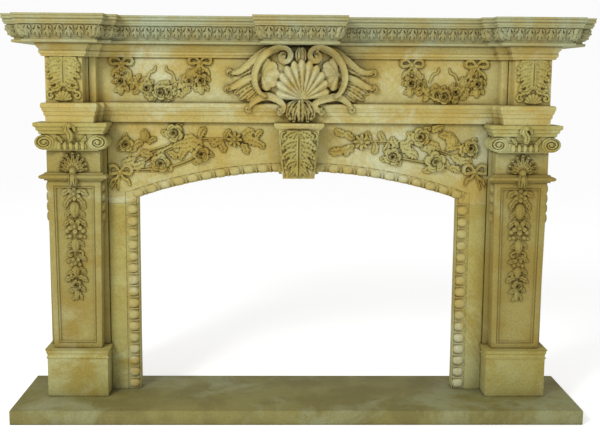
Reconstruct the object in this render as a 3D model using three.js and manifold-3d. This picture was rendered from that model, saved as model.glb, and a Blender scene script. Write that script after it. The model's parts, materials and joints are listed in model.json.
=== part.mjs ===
// A carved stone fireplace mantel with its hearth slab, in millimetres.
// +Z is up and the mantel faces -Y. The origin is under the middle of the hearth and the stones.
import * as THREE from "three";
import { mergeVertices } from "three/addons/utils/BufferGeometryUtils.js";
import Module from "manifold-3d";

const wasm = await Module();
wasm.setup();

// Joint left open between two stones.
const JOINT = 0.3;

// Hearth slab: it runs past the plinths by the same margin on each side
const HEARTH_MARGIN = 97;
const HEARTH_DEPTH = 400;
const HEARTH_THICK = 50;

// Opening: a segmental arch on two straight jambs, and the header's height above its springing
const OPENING_HALF = 559;
const SPRING_HEIGHT = 740;
const ARCH_RISE = 94;
const HEADER_RISE = 263.3;

// Faces, as distances behind the hearth's front edge
const PLINTH_FACE = 152;
const SHAFT_FACE = 165;
const CAPITAL_FACE = 115;
const BACKING_FACE = 225;
const SLIP_FACE = 235;
const SLIP_THICK = 60;
const KEY_FACE = 165;
const ARCHITRAVE_FACE = 119;
const BLOCK_FACE = 128;
const STILE_FACE = 178;
const PANEL_FACE = 222;

// Pilasters, with a flat slip between each one and the opening
const SLIP_WIDTH = 100.7;
const PLINTH_BLOCK = 139;
const PLINTH_CAP = 30;
const BACKING_WIDTH = 204;
const PLINTH_LEDGE = 2;
const SHAFT_FOOT_WIDTH = 166;
const SHAFT_HEAD_WIDTH = 181;
const SHAFT_LEAN = 5;
const PANEL_MARGIN = 26;
const PANEL_SINK = 7;
const ASTRAGAL_HEIGHT = 28;
const ASTRAGAL_WIDTH = 230;
const ASTRAGAL_RETURN = 30;
const NECK_HEIGHT = 74;
const CAPITAL_HEIGHT = 95.4;
const ABACUS_HEIGHT = 40;
const ABACUS_WIDTH = 245;
const VOLUTE_SPREAD = 82;
const BOLSTER_SPREAD = 97;
const VOLUTE_RADIUS = 26;

// Egg moulding round the opening
const JAMB_EGG_BAND = 43;
const ARCH_EGG_BAND = 32;
const EGG_SINK = 13;
const JAMB_EGG_PITCH = 43;
const ARCH_EGG_PITCH = 50;
const HEADER_FOOT = 20;

// Keystone
const KEY_CAP_WIDTH = 170;
const KEY_CAP_HEIGHT = 22;
const KEY_HEAD_WIDTH = 138;
const KEY_FOOT_WIDTH = 113;
const KEY_DROP = 21;

// Frieze
const ARCHITRAVE_HEIGHT = 66;
const ARCHITRAVE_BLOCK_WIDTH = 158;
const ARCHITRAVE_STEP = 14;
const FIELD_HEIGHT = 152;
const BED_HEIGHT = 43.7;
const BLOCK_WIDTH = 123;
const BLOCK_SHIFT = 17.5;
const STILE_WIDTH = 35;
const CENTRE_HALF = 68;

// Mantel shelf
const SHELF_HEIGHT = 92;
const SHELF_OVERHANG = 88;
const SHELF_RISER = 62;
const SHELF_END_STEP = 46;

// Carved flowers
const ROSE_RADIUS = 31;
const BLOSSOM_RADIUS = 22;
const LEAF_LENGTH = 44;
const STEM_RADIUS = 4.5;
const RELIEF = 15;
const SPRAY_INSET = 50;

const FRONT = -HEARTH_DEPTH / 2;
const BACK = HEARTH_DEPTH / 2;
const faceY = (setBack) => FRONT + setBack;

const PLINTH_Z = HEARTH_THICK + JOINT;
const SHAFT_Z = PLINTH_Z + PLINTH_BLOCK + PLINTH_CAP + JOINT;
const HEADER_TOP = SPRING_HEIGHT + HEADER_RISE;
const FRIEZE_Z = HEADER_TOP + JOINT;
const CAPITAL_Z = HEADER_TOP - CAPITAL_HEIGHT;
const NECK_Z = CAPITAL_Z - JOINT - NECK_HEIGHT;
const ASTRAGAL_Z = NECK_Z - ASTRAGAL_HEIGHT;
const FIELD_Z = FRIEZE_Z + ARCHITRAVE_HEIGHT;
const BED_Z = FIELD_Z + FIELD_HEIGHT;
const SHELF_Z = BED_Z + BED_HEIGHT + JOINT;
const HEADER_Z = SPRING_HEIGHT - HEADER_FOOT;
const SLIP_OUTER = OPENING_HALF + SLIP_WIDTH;
const SLIP_BACK = SLIP_FACE + SLIP_THICK;
const PLINTH_WIDTH = BACKING_WIDTH + 2 * PLINTH_LEDGE;
const PILASTER_X = SLIP_OUTER + JOINT + PLINTH_WIDTH / 2;
const HEARTH_WIDTH = 2 * (PILASTER_X + PLINTH_WIDTH / 2 + HEARTH_MARGIN);
const BLOCK_INNER = PILASTER_X + BLOCK_SHIFT - BLOCK_WIDTH / 2;
const BLOCK_OUTER = PILASTER_X + BLOCK_SHIFT + BLOCK_WIDTH / 2;
const ARCH_RADIUS = (OPENING_HALF ** 2 + ARCH_RISE ** 2) / (2 * ARCH_RISE);
const ARCH_CENTRE_Z = SPRING_HEIGHT + ARCH_RISE - ARCH_RADIUS;
const STILE_INNER = BLOCK_INNER - STILE_WIDTH;

// A closed solid from rows of points: each ring is joined to the next and both ends are closed.
function loft(rings) {
  const count = rings[0].length;
  const positions = rings.flat(2);
  const index = [];
  for (let r = 0; r + 1 < rings.length; r++) {
    for (let i = 0; i < count; i++) {
      const a = r * count + i;
      const b = r * count + ((i + 1) % count);
      index.push(a, b, b + count, a, b + count, a + count);
    }
  }
  const flat = (ring) => {
    const spread = (k) => Math.max(...ring.map((p) => p[k])) - Math.min(...ring.map((p) => p[k]));
    const drop = [0, 1, 2].reduce((best, k) => (spread(k) < spread(best) ? k : best), 0);
    const [u, v] = [0, 1, 2].filter((k) => k !== drop);
    return ring.map((p) => new THREE.Vector2(p[u], p[v]));
  };
  const cap = (ring, start, first) => {
    for (const [a, b, c] of THREE.ShapeUtils.triangulateShape(flat(ring), [])) {
      const triangle = [start + a, start + b, start + c];
      const forward = outlineRuns(triangle, start, count);
      index.push(...(forward === first ? triangle.reverse() : triangle));
    }
  };
  cap(rings[0], 0, true);
  cap(rings[rings.length - 1], (rings.length - 1) * count, false);
  return closed(positions, index);
}

// True where a triangle of a ring runs round it in the order of the ring's points.
function outlineRuns([a, b, c], start, count) {
  const step = (from, to) => (to - from + count) % count;
  return step(a - start, b - start) + step(b - start, c - start) + step(c - start, a - start) === count;
}

function closed(positions, index) {
  const geometry = new THREE.BufferGeometry();
  geometry.setAttribute("position", new THREE.Float32BufferAttribute(positions, 3));
  geometry.setIndex(index);
  return solid(geometry);
}

// A three.js geometry as a solid that faces out.
function solid(geometry) {
  const bare = geometry.clone();
  bare.deleteAttribute("normal");
  bare.deleteAttribute("uv");
  const merged = mergeVertices(bare, 1e-3);
  const make = (triVerts) =>
    new wasm.Manifold(
      new wasm.Mesh({ numProp: 3, vertProperties: merged.attributes.position.array, triVerts }),
    );
  const corners = new Uint32Array(merged.index.array);
  const made = make(corners);
  return made.volume() < 0 ? make(corners.reverse()) : made;
}

const join = (...solids) => solids.flat(Infinity).reduce((all, one) => all.add(one));

function box(x0, x1, y0, y1, z0, z1) {
  const geometry = new THREE.BoxGeometry(x1 - x0, y1 - y0, z1 - z0);
  geometry.translate((x0 + x1) / 2, (y0 + y1) / 2, (z0 + z1) / 2);
  return solid(geometry);
}

// An outline in the XZ plane, given depth from one face to another.
function slab(outline, front, back) {
  const geometry = new THREE.ExtrudeGeometry(new THREE.Shape(outline.map(([x, z]) => new THREE.Vector2(x, z))), {
    depth: back - front,
    bevelEnabled: false,
  });
  geometry.rotateX(Math.PI / 2);
  geometry.translate(0, back, 0);
  return solid(geometry);
}

// A square-cornered plan whose edges all move out by the same amount, except those on the back.
function grownPlan(plan, out, z) {
  const count = plan.length;
  const shift = (from, to) => {
    const alongX = from[1] === to[1];
    if (alongX && from[1] === BACK) return [0, 0];
    return alongX ? [0, -Math.sign(to[0] - from[0]) * out] : [Math.sign(to[1] - from[1]) * out, 0];
  };
  return plan.map((point, i) => {
    const before = shift(plan[(i + count - 1) % count], point);
    const after = shift(point, plan[(i + 1) % count]);
    return [point[0] + before[0] + after[0], point[1] + before[1] + after[1], z];
  });
}

// A stone whose mouldings follow its plan: the profile lists heights and how far out each one stands.
const moulded = (plan, profile) => loft(profile.map(([z, out]) => grownPlan(plan, out, z)));

// The whole plan, front to back, of a symmetric stone from the steps of its right half.
function brokenPlan(steps) {
  const right = [];
  steps.forEach(([x, y], i) => {
    right.push([x, y]);
    right.push([x, i + 1 < steps.length ? steps[i + 1][1] : BACK]);
  });
  const left = right.map(([x, y]) => [-x, y]).reverse();
  return [...left, ...right];
}

// Carving is made on a flat face: x runs along it, y up it and z out of it.
const onFace = (y) => (carved) => carved.rotate([90, 0, 0]).translate([0, y, 0]);

// A swelling strand along a path of points, round or flat in section, ending in two points.
function strand(path, widths, { sides = 3, flat = 0.8 } = {}) {
  const curve = new THREE.CatmullRomCurve3(path.map(([x, y, z = 0]) => new THREE.Vector3(x, y, z)));
  const rows = widths.length;
  const positions = [...curve.getPoint(0).toArray()];
  for (let r = 1; r <= rows; r++) {
    const t = r / (rows + 1);
    const middle = curve.getPoint(t);
    const along = curve.getTangent(t);
    const across = new THREE.Vector3(-along.y, along.x, 0).normalize();
    const wide = widths[r - 1];
    for (let i = 0; i < sides; i++) {
      const angle = (0.25 + i / sides) * 2 * Math.PI;
      const edge = across.clone().multiplyScalar(wide * Math.cos(angle));
      edge.z = wide * flat * Math.sin(angle);
      positions.push(...middle.clone().add(edge).toArray());
    }
  }
  positions.push(...curve.getPoint(1).toArray());
  const index = [];
  const last = 1 + rows * sides;
  for (let i = 0; i < sides; i++) {
    const next = (i + 1) % sides;
    index.push(0, 1 + next, 1 + i);
    for (let r = 0; r + 1 < rows; r++) {
      const a = 1 + r * sides;
      index.push(a + i, a + next, a + sides + next, a + i, a + sides + next, a + sides + i);
    }
    index.push(last, last - sides + i, last - sides + next);
  }
  return closed(positions, index);
}

// A leaf from its base towards an angle in degrees, with a ridge along its middle.
function leaf(x, y, angle, length = LEAF_LENGTH, width = length * 0.27, lift = 3) {
  const turn = THREE.MathUtils.degToRad(angle);
  const tip = [x + length * Math.cos(turn), y + length * Math.sin(turn), 0];
  const middle = [(x + tip[0]) / 2, (y + tip[1]) / 2, lift];
  return strand([[x, y, -1], middle, tip], [width], { flat: 0.7 });
}

// A domed boss whose rim is cut in lobes.
function boss(x, y, radius, height, lobes = 0, depth = 0.14) {
  const sides = lobes ? lobes * 2 : 5;
  const profile = [
    [0, -2],
    [1, -2],
    [0.78, 0.75],
    [0, 1],
  ].map(([r, h]) => new THREE.Vector2(r * radius, h < 0 ? h : h * height));
  const geometry = new THREE.LatheGeometry(profile, sides);
  geometry.rotateX(Math.PI / 2);
  const points = geometry.attributes.position;
  for (let i = 0; i < points.count; i++) {
    const angle = Math.atan2(points.getY(i), points.getX(i));
    const scale = 1 + (lobes ? depth * Math.cos(lobes * angle) : 0);
    points.setX(i, points.getX(i) * scale);
    points.setY(i, points.getY(i) * scale);
  }
  geometry.translate(x, y, 0);
  return solid(geometry);
}

// A full rose: a ring of open petals round a raised heart.
const rose = (x, y, radius) => [
  boss(x, y, radius, RELIEF * 0.7, 5),
  boss(x, y, radius * 0.5, RELIEF * 1.25),
];

// A half-round egg lying on a face.
function egg(x, y, long, wide, high, angle = 0) {
  const geometry = new THREE.SphereGeometry(1, 6, 3);
  geometry.scale(wide / 2, long / 2, high);
  geometry.rotateZ(angle);
  geometry.translate(x, y, 0);
  return solid(geometry);
}

// A ribbon bow with two loops and two tails.
function bow(x, y, size) {
  return [-1, 1].flatMap((side) => [
    strand(
      [
        [x, y],
        [x + side * size * 0.9, y + size * 0.5, 2],
        [x + side * size * 0.9, y - size * 0.15, 2],
        [x, y],
      ],
      [6, 6],
      { sides: 3 },
    ),
    strand(
      [
        [x, y],
        [x + side * size * 0.5, y - size * 0.7, 1],
        [x + side * size * 0.9, y - size * 1.1],
      ],
      [5],
    ),
  ]);
}

// Ribs of a shell that fan out from its hinge.
function shell(x, y, radius, ribs, spread, direction, height) {
  return Array.from({ length: ribs }, (_, i) => {
    const share = ribs > 1 ? i / (ribs - 1) - 0.5 : 0;
    const angle = THREE.MathUtils.degToRad(direction + share * spread);
    const reach = radius * (1 - 0.28 * Math.abs(share));
    const end = (part, lift) => [x + reach * part * Math.cos(angle), y + reach * part * Math.sin(angle), lift];
    const wide = (reach * THREE.MathUtils.degToRad(spread)) / ribs / 1.5;
    return strand([end(0, 0), end(0.6, height * 0.9), end(1, 0)], [wide * 0.5, wide]);
  });
}

// An acanthus leaf that hangs or stands: a midrib with pairs of lobes.
function acanthus(x, y, length, width, direction, pairs, lift) {
  const turn = THREE.MathUtils.degToRad(direction);
  const point = (along, across, z) => [
    x + along * Math.cos(turn) - across * Math.sin(turn),
    y + along * Math.sin(turn) + across * Math.cos(turn),
    z,
  ];
  const rib = strand([point(0, 0, 0), point(length * 0.5, 0, lift), point(length, 0, lift * 0.5)], [12, 9]);
  const lobes = Array.from({ length: pairs }, (_, i) => {
    const from = (length * i) / (pairs + 0.6);
    const wide = width * (0.62 + 0.38 * Math.sin(((i + 0.8) / pairs) * Math.PI));
    return [-1, 1].map((side) =>
      strand(
        [point(from, 0, 0), point(from + length * 0.2, (side * wide) / 3.4, lift * 0.5), point(from + length * 0.28, (side * wide) / 2, -1)],
        [wide * 0.13],
      ),
    );
  });
  return [rib, lobes];
}

// A scroll of stone that curls up at its end.
function scroll(path, centre, radius, turns, side, width, height) {
  const steps = 6;
  const coil = Array.from({ length: steps }, (_, i) => {
    const angle = Math.PI / 2 + (side * i * turns * 2 * Math.PI) / (steps - 1);
    const reach = radius * (1 - (0.7 * i) / (steps - 1));
    return [centre[0] + reach * Math.cos(angle), centre[1] + reach * Math.sin(angle), height];
  });
  return strand([...path, ...coil], Array(8).fill(width), { sides: 4, flat: 0.8 });
}

function hearthSlab() {
  return box(-HEARTH_WIDTH / 2, HEARTH_WIDTH / 2, FRONT, BACK, 0, HEARTH_THICK);
}

const pilasterPlan = (half, setBack) => [
  [-half, faceY(setBack)],
  [half, faceY(setBack)],
  [half, BACK],
  [-half, BACK],
];

// The part of a stone that stands in front of a face, by default the one of header and slips.
function frontPart(stone, back = faceY(SLIP_FACE) - JOINT) {
  const { min, max } = stone.boundingBox();
  return stone.subtract(box(min[0] - 1, max[0] + 1, back, BACK + 1, min[2] - 1, max[2] + 1));
}

function plinth() {
  const top = PLINTH_Z + PLINTH_BLOCK;
  const foot = (SHAFT_FACE - PLINTH_FACE) * 0.6;
  return moulded(pilasterPlan(PLINTH_WIDTH / 2, PLINTH_FACE), [
    [PLINTH_Z, 0],
    [top - 3, 0],
    [top, -4],
    [top + 3, 0],
    [top + PLINTH_CAP * 0.45, 0],
    [top + PLINTH_CAP * 0.6, -2],
    [top + PLINTH_CAP, -foot],
  ]);
}

function shaft() {
  const ring = (z, half, setBack) => pilasterPlan(half, setBack).map(([x, y]) => [x, y, z]);
  const front = loft([
    ring(SHAFT_Z, SHAFT_FOOT_WIDTH / 2, SHAFT_FACE + SHAFT_LEAN),
    ring(ASTRAGAL_Z, SHAFT_HEAD_WIDTH / 2, SHAFT_FACE),
    ring(NECK_Z + NECK_HEIGHT, SHAFT_HEAD_WIDTH / 2, SHAFT_FACE),
  ]);
  const backing = box(
    -BACKING_WIDTH / 2,
    BACKING_WIDTH / 2,
    faceY(BACKING_FACE),
    BACK,
    SHAFT_Z,
    NECK_Z + NECK_HEIGHT,
  );
  const panelFoot = SHAFT_Z + PANEL_MARGIN;
  const panelHead = ASTRAGAL_Z - PANEL_MARGIN;
  const panelHalf = SHAFT_FOOT_WIDTH / 2 - PANEL_MARGIN;
  const lip = PANEL_SINK;
  const outline = (grow) => [
    [-panelHalf - grow, panelFoot - grow],
    [panelHalf + grow, panelFoot - grow],
    [panelHalf + grow + 4, panelHead + grow],
    [-panelHalf - grow - 4, panelHead + grow],
  ];
  const sunk = loft([
    outline(lip).map(([x, z]) => [x, faceY(SHAFT_FACE) - 2 * lip, z]),
    outline(lip).map(([x, z]) => [x, faceY(SHAFT_FACE), z]),
    outline(0).map(([x, z]) => [x, faceY(SHAFT_FACE + SHAFT_LEAN) + PANEL_SINK, z]),
  ]);
  const bar = moulded(pilasterPlan(SHAFT_HEAD_WIDTH / 2, SHAFT_FACE), astragalProfile());
  const astragal = frontPart(bar, faceY(SHAFT_FACE + ASTRAGAL_RETURN));
  const carving = join(shaftDrop(panelFoot, panelHead), neckShell());
  const face = faceY(SHAFT_FACE + SHAFT_LEAN) + PANEL_SINK;
  return join(front.subtract(sunk), backing, astragal, onFace(face)(carving));
}

// A half-round bar between two thin fillets.
function astragalProfile() {
  const out = (ASTRAGAL_WIDTH - SHAFT_HEAD_WIDTH) / 2;
  return [
    [0, 0.3],
    [0.15, 0.35],
    [0.3, 0.75],
    [0.5, 1],
    [0.7, 0.85],
    [0.85, 0.4],
    [1, 0.3],
  ].map(([share, part]) => [ASTRAGAL_Z + share * ASTRAGAL_HEIGHT, part * out]);
}

// Flowers, fruit and buds that hang in the shaft's sunk panel.
function shaftDrop(foot, head) {
  const level = (share) => foot + share * (head - foot);
  return [
    leaf(0, level(0.99), -125, 50, 13),
    leaf(0, level(0.99), -55, 50, 13),
    boss(0, level(0.965), 20, 20, 5),
    strand([[0, level(0.9), 0], [0, level(0.85), 9], [0, level(0.79), -2]], [14, 12]),
    boss(0, level(0.745), 20, 22, 5),
    [-1, 1].map((side) => [
      boss(side * 26, level(0.72), 9, 14),
      strand([[0, level(0.6), 2], [side * 20, level(0.585), 5], [side * 24, level(0.55), -2]], [6]),
      leaf(0, level(0.44), side * 55 - 90, 40, 9),
    ]),
    strand([[0, level(0.67), 0], [0, level(0.63), 6], [0, level(0.58), -2]], [11, 10]),
    boss(0, level(0.515), 18, 20, 5),
    strand([[0, level(0.5), 0], [0, level(0.46), 6], [0, level(0.42), -2]], [11, 10]),
    boss(0, level(0.37), 15, 15),
    leaf(0, level(0.35), -90, 54, 10),
  ];
}

// The scallop shell of the necking, with the knob that laps over the astragal.
function neckShell() {
  const sink = SHAFT_LEAN + PANEL_SINK;
  const shellFoot = NECK_Z + 4;
  return [
    join(shell(0, shellFoot, NECK_HEIGHT * 0.86, 7, 160, 90, 10)).translate([
      0, 0, sink,
    ]),
    strand(
      [[0, NECK_Z + 8, sink + 10], [0, ASTRAGAL_Z + ASTRAGAL_HEIGHT / 2, sink + 30], [0, ASTRAGAL_Z - 14, sink]],
      [17, 15],
      { sides: 4, flat: 0.8 },
    ),
  ];
}

function capital() {
  const abacusZ = CAPITAL_Z + CAPITAL_HEIGHT - ABACUS_HEIGHT;
  const top = CAPITAL_Z + CAPITAL_HEIGHT;
  const over = (ABACUS_WIDTH - SHAFT_HEAD_WIDTH) / 2;
  const neck = pilasterPlan(SHAFT_HEAD_WIDTH / 2, CAPITAL_FACE + over);
  const body = moulded(neck, [
    [CAPITAL_Z, -6],
    [CAPITAL_Z + 6, 0],
    [CAPITAL_Z + 8, 3],
    [CAPITAL_Z + 26, 12],
    [abacusZ - 14, 8],
    [abacusZ, 10],
    [abacusZ + 2, over - 12],
    [abacusZ + 14, over - 8],
    [abacusZ + 15, over - 5],
    [abacusZ + 27, over - 4],
    [abacusZ + 28, over],
    [top, over],
  ]);
  const backing = box(-BACKING_WIDTH / 2, BACKING_WIDTH / 2, faceY(BACKING_FACE), BACK, CAPITAL_Z, top);
  const roll = (x, setBack) => {
    const drum = new THREE.CylinderGeometry(VOLUTE_RADIUS, VOLUTE_RADIUS, BACKING_FACE - setBack, 10);
    drum.translate(x, faceY((setBack + BACKING_FACE) / 2), abacusZ - VOLUTE_RADIUS);
    return solid(drum);
  };
  const volutes = [-1, 1].flatMap((side) => [
    roll(side * VOLUTE_SPREAD, CAPITAL_FACE + over - 14),
    roll(side * BOLSTER_SPREAD, CAPITAL_FACE + over),
  ]);
  const face = faceY(CAPITAL_FACE + over - 14);
  const eyes = [-1, 1].map((side) => voluteFace(side, abacusZ - VOLUTE_RADIUS));
  const eggZ = CAPITAL_Z + 17;
  const eggs = [-2, -1, 0, 1, 2].map((i) => egg(i * 19, eggZ, 26, 15, 9));
  const flower = [
    leaf(0, top - 4, -90, 52, 15, 14),
    leaf(0, top - 2, -68, 40, 10, 10),
    leaf(0, top - 2, -112, 40, 10, 10),
  ];
  return join(
    frontPart(body),
    backing,
    volutes,
    onFace(face)(join(eyes)),
    onFace(faceY(CAPITAL_FACE + over - 10))(join(eggs)),
    onFace(faceY(CAPITAL_FACE + 7))(join(flower)),
  );
}

// The spiral on the end of a volute, with its eye.
function voluteFace(side, z) {
  const path = Array.from({ length: 9 }, (_, i) => {
    const angle = Math.PI / 2 - side * (i / 8) * 1.25 * 2 * Math.PI;
    const reach = (VOLUTE_RADIUS - 4) * (1 - (0.55 * i) / 8);
    return [side * VOLUTE_SPREAD + reach * Math.cos(angle), z + reach * Math.sin(angle), 1];
  });
  return [strand(path, Array(8).fill(5), { sides: 3, flat: 1 }), boss(side * VOLUTE_SPREAD, z, 7, 8)];
}

// A jamb slip: a flat, and a sunk band of eggs beside the opening. It is made for the right side.
function jambSlip() {
  const foot = HEARTH_THICK + JOINT;
  const head = HEADER_Z - JOINT;
  const flat = box(OPENING_HALF + JAMB_EGG_BAND, SLIP_OUTER, faceY(SLIP_FACE), faceY(SLIP_BACK), foot, head);
  const ledge = box(OPENING_HALF, SLIP_OUTER, faceY(SLIP_FACE + EGG_SINK), faceY(SLIP_BACK), foot, head);
  return join(flat, ledge, jambEggs(foot, head));
}

function jambEggs(foot, head) {
  const count = Math.round((head - foot) / JAMB_EGG_PITCH);
  const pitch = (head - foot) / count;
  const x = OPENING_HALF + JAMB_EGG_BAND * 0.54;
  const eggs = Array.from({ length: count }, (_, i) =>
    egg(x, foot + (i + 0.5) * pitch, pitch * 0.86, JAMB_EGG_BAND * 0.76, EGG_SINK),
  );
  return onFace(faceY(SLIP_FACE + EGG_SINK))(join(eggs));
}

// The opening's edge as a path, from the right foot over the arch to the left foot.
function archEdge(grow, side, foot) {
  const spring = OPENING_HALF + side;
  const radius = ARCH_RADIUS + grow;
  const steps = 18;
  const from = Math.asin(Math.min(1, spring / radius));
  const arc = Array.from({ length: steps + 1 }, (_, i) => {
    const angle = from - (2 * from * i) / steps;
    return [radius * Math.sin(angle), ARCH_CENTRE_Z + radius * Math.cos(angle)];
  });
  return [[spring, foot], ...arc, [-spring, foot]];
}

function archHeader() {
  const outline = (edge) => [
    [-SLIP_OUTER, HEADER_Z],
    [-SLIP_OUTER, HEADER_TOP],
    [SLIP_OUTER, HEADER_TOP],
    [SLIP_OUTER, HEADER_Z],
    ...edge,
  ];
  const ledge = slab(outline(archEdge(0, 0, HEADER_Z)), faceY(SLIP_FACE + EGG_SINK), faceY(SLIP_BACK));
  const flat = slab(outline(archEdge(ARCH_EGG_BAND, JAMB_EGG_BAND, HEADER_Z)), faceY(SLIP_FACE), faceY(SLIP_BACK));
  return join(ledge, flat, archEggs(), onFace(faceY(SLIP_FACE))(join(leftSpray(), rightSpray())));
}

function archEggs() {
  const radius = ARCH_RADIUS + ARCH_EGG_BAND * 0.54;
  const reach = Math.asin((OPENING_HALF + JAMB_EGG_BAND * 0.5) / radius);
  const count = Math.round((2 * reach * radius) / ARCH_EGG_PITCH);
  const eggs = Array.from({ length: count }, (_, i) => {
    const angle = reach - (2 * reach * (i + 0.5)) / count;
    const x = radius * Math.sin(angle);
    const z = ARCH_CENTRE_Z + radius * Math.cos(angle);
    const long = ((2 * reach * radius) / count) * 0.86;
    return egg(x, z, ARCH_EGG_BAND * 0.74, long, EGG_SINK, -angle);
  });
  return onFace(faceY(SLIP_FACE + EGG_SINK))(join(eggs));
}

// The rose sprays in the corners of the header are placed from a line just inside the flat's
// edge, at the height where the arch springs: a point is so far in and so far up.
const SPRAY_LINE = OPENING_HALF + JAMB_EGG_BAND - SPRAY_INSET;
const corner = (side) => (inward, up) => [side * (SPRAY_LINE - inward), SPRING_HEIGHT + up];

function leftSpray() {
  const p = corner(-1);
  const roses = [
    [123, 226, 1],
    [75, 122, 1.06],
    [215, 153, 0.95],
  ].map(([a, b, size]) => rose(...p(a, b), ROSE_RADIUS * size));
  const leaves = [
    [-16, 149, 200, 1],
    [30, 200, 100, 0.9],
    [160, 190, 20, 1],
    [143, 140, 60, 0.9],
    [95, 150, 250, 0.8],
    [274, 190, -70, 0.9],
    [303, 199, 52, 0.7],
    [365, 205, 40, 1],
    [390, 185, -70, 0.8],
  ].map(([a, b, angle, size]) => leaf(...p(a, b), angle, LEAF_LENGTH * size));
  return [
    roses,
    leaves,
    boss(...p(-42, 194), BLOSSOM_RADIUS * 0.8, RELIEF, 3),
    boss(...p(331, 205), BLOSSOM_RADIUS * 1.1, RELIEF * 0.9, 7),
    stems(p, [
      [-65, 90, -30, 150, 30, 205],
      [-65, 90, 10, 150, 110, 200],
      [-65, 90, 60, 100, 215, 153],
      [100, 186, 210, 208, 400, 205],
      [-65, 90, -80, 60, -97, 42],
      [-65, 90, -70, 60, -78, 35],
    ]),
    bow(...p(-65, 90), 34),
  ];
}

function rightSpray() {
  const p = corner(1);
  const roses = [
    [226, 149, 0.95],
    [130, 217, 1.06],
    [76, 131, 1.2],
  ].map(([a, b, size]) => rose(...p(a, b), ROSE_RADIUS * size));
  const leaves = [
    [380, 215, 130, 1],
    [390, 195, 200, 1.1],
    [375, 185, 250, 0.8],
    [200, 165, 60, 0.8],
    [90, 225, 20, 0.8],
    [20, 150, -40, 1],
    [-38, 160, 80, 1],
    [170, 195, 200, 0.9],
  ].map(([a, b, angle, size]) => leaf(...p(a, b), angle, LEAF_LENGTH * size));
  return [
    roses,
    leaves,
    boss(...p(-46, 187), BLOSSOM_RADIUS, RELIEF, 3),
    boss(...p(334, 199), BLOSSOM_RADIUS * 1.2, RELIEF * 0.9, 7),
    stems(p, [
      [-63, 97, -50, 140, -45, 190],
      [-63, 97, 0, 150, 100, 175],
      [-63, 97, 60, 110, 226, 149],
      [130, 217, 240, 198, 400, 200],
      [-63, 97, -75, 65, -86, 45],
      [-63, 97, -90, 75, -103, 55],
    ]),
    bow(...p(-63, 97), 34),
  ];
}

const stems = (p, list) =>
  list.map(([a, b, c, d, e, f]) =>
    strand([[...p(a, b), 0], [...p(c, d), 1], [...p(e, f), 0]], [STEM_RADIUS], { sides: 3, flat: 1 }),
  );

function keystone() {
  const bodyTop = HEADER_TOP - KEY_CAP_HEIGHT;
  const foot = SPRING_HEIGHT + ARCH_RISE - KEY_DROP;
  const back = faceY(SLIP_FACE) - JOINT;
  const ring = (z, half, setBack) => [
    [-half, faceY(setBack), z],
    [half, faceY(setBack), z],
    [half, back, z],
    [-half, back, z],
  ];
  const head = KEY_HEAD_WIDTH / 2;
  const tail = KEY_FOOT_WIDTH / 2;
  const body = loft([
    ring(foot, tail - 2, KEY_FACE + 24),
    ring(foot + 14, tail, KEY_FACE + 12),
    ring(foot + (bodyTop - foot) * 0.4, tail + 3, KEY_FACE + 18),
    ring(bodyTop - 16, head, KEY_FACE + 3),
    ring(bodyTop, head, KEY_FACE),
    ring(bodyTop + 1, KEY_CAP_WIDTH / 2 - 8, KEY_FACE - 6),
    ring(bodyTop + KEY_CAP_HEIGHT * 0.5, KEY_CAP_WIDTH / 2 - 3, KEY_FACE - 9),
    ring(HEADER_TOP - 7, KEY_CAP_WIDTH / 2, KEY_FACE - 12),
    ring(HEADER_TOP, KEY_CAP_WIDTH / 2, KEY_FACE - 12),
  ]);
  const length = bodyTop - foot;
  const carved = [
    acanthus(0, bodyTop - 4, length - 12, KEY_HEAD_WIDTH * 0.9, -90, 4, 9),
    [-1, 1].map((side) => scroll([[side * 20, foot + 60, 2]], [side * 46, bodyTop - 20], 14, 1, -side, 5, 4)),
  ];
  return join(body, onFace(faceY(KEY_FACE + 14))(join(carved)));
}

function frieze() {
  const blockHalf = ARCHITRAVE_BLOCK_WIDTH / 2;
  const architrave = brokenPlan([
    [PILASTER_X - blockHalf - ARCHITRAVE_STEP, faceY(PANEL_FACE - 6)],
    [PILASTER_X - blockHalf, faceY(STILE_FACE)],
    [PILASTER_X + blockHalf, faceY(ARCHITRAVE_FACE)],
  ]);
  const field = brokenPlan([
    [STILE_INNER, faceY(PANEL_FACE)],
    [BLOCK_INNER, faceY(STILE_FACE)],
    [BLOCK_OUTER, faceY(BLOCK_FACE)],
  ]);
  const bed = brokenPlan([
    [STILE_INNER, faceY(PANEL_FACE)],
    [BLOCK_INNER, faceY(STILE_FACE)],
    [BLOCK_OUTER, faceY(BLOCK_FACE)],
  ]);
  const top = SHELF_Z - JOINT;
  const lower = moulded(architrave, [
    [FRIEZE_Z, 0],
    [FRIEZE_Z + ARCHITRAVE_HEIGHT * 0.3, 3],
    [FRIEZE_Z + ARCHITRAVE_HEIGHT * 0.32, 6],
    [FRIEZE_Z + ARCHITRAVE_HEIGHT * 0.56, 7],
    [FRIEZE_Z + ARCHITRAVE_HEIGHT * 0.58, 10],
    [FRIEZE_Z + ARCHITRAVE_HEIGHT * 0.74, 14],
    [FRIEZE_Z + ARCHITRAVE_HEIGHT * 0.8, 14],
    [FRIEZE_Z + ARCHITRAVE_HEIGHT, 12],
  ]);
  const middle = moulded(field, [
    [FIELD_Z - 2, 0],
    [BED_Z + 2, 0],
  ]);
  const upper = moulded(bed, [
    [BED_Z, 4],
    [BED_Z + BED_HEIGHT * 0.2, 12],
    [BED_Z + BED_HEIGHT * 0.22, 15],
    [BED_Z + BED_HEIGHT * 0.5, 17],
    [BED_Z + BED_HEIGHT * 0.75, 24],
    [BED_Z + BED_HEIGHT * 0.78, 26],
    [top, 26],
  ]);
  const carved = [
    onFace(faceY(BLOCK_FACE))(join(blockLeaf(-1), blockLeaf(1))),
    onFace(faceY(PANEL_FACE))(join(garlands(), cartouche())),
  ];
  return join(lower, middle, upper, carved);
}

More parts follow.
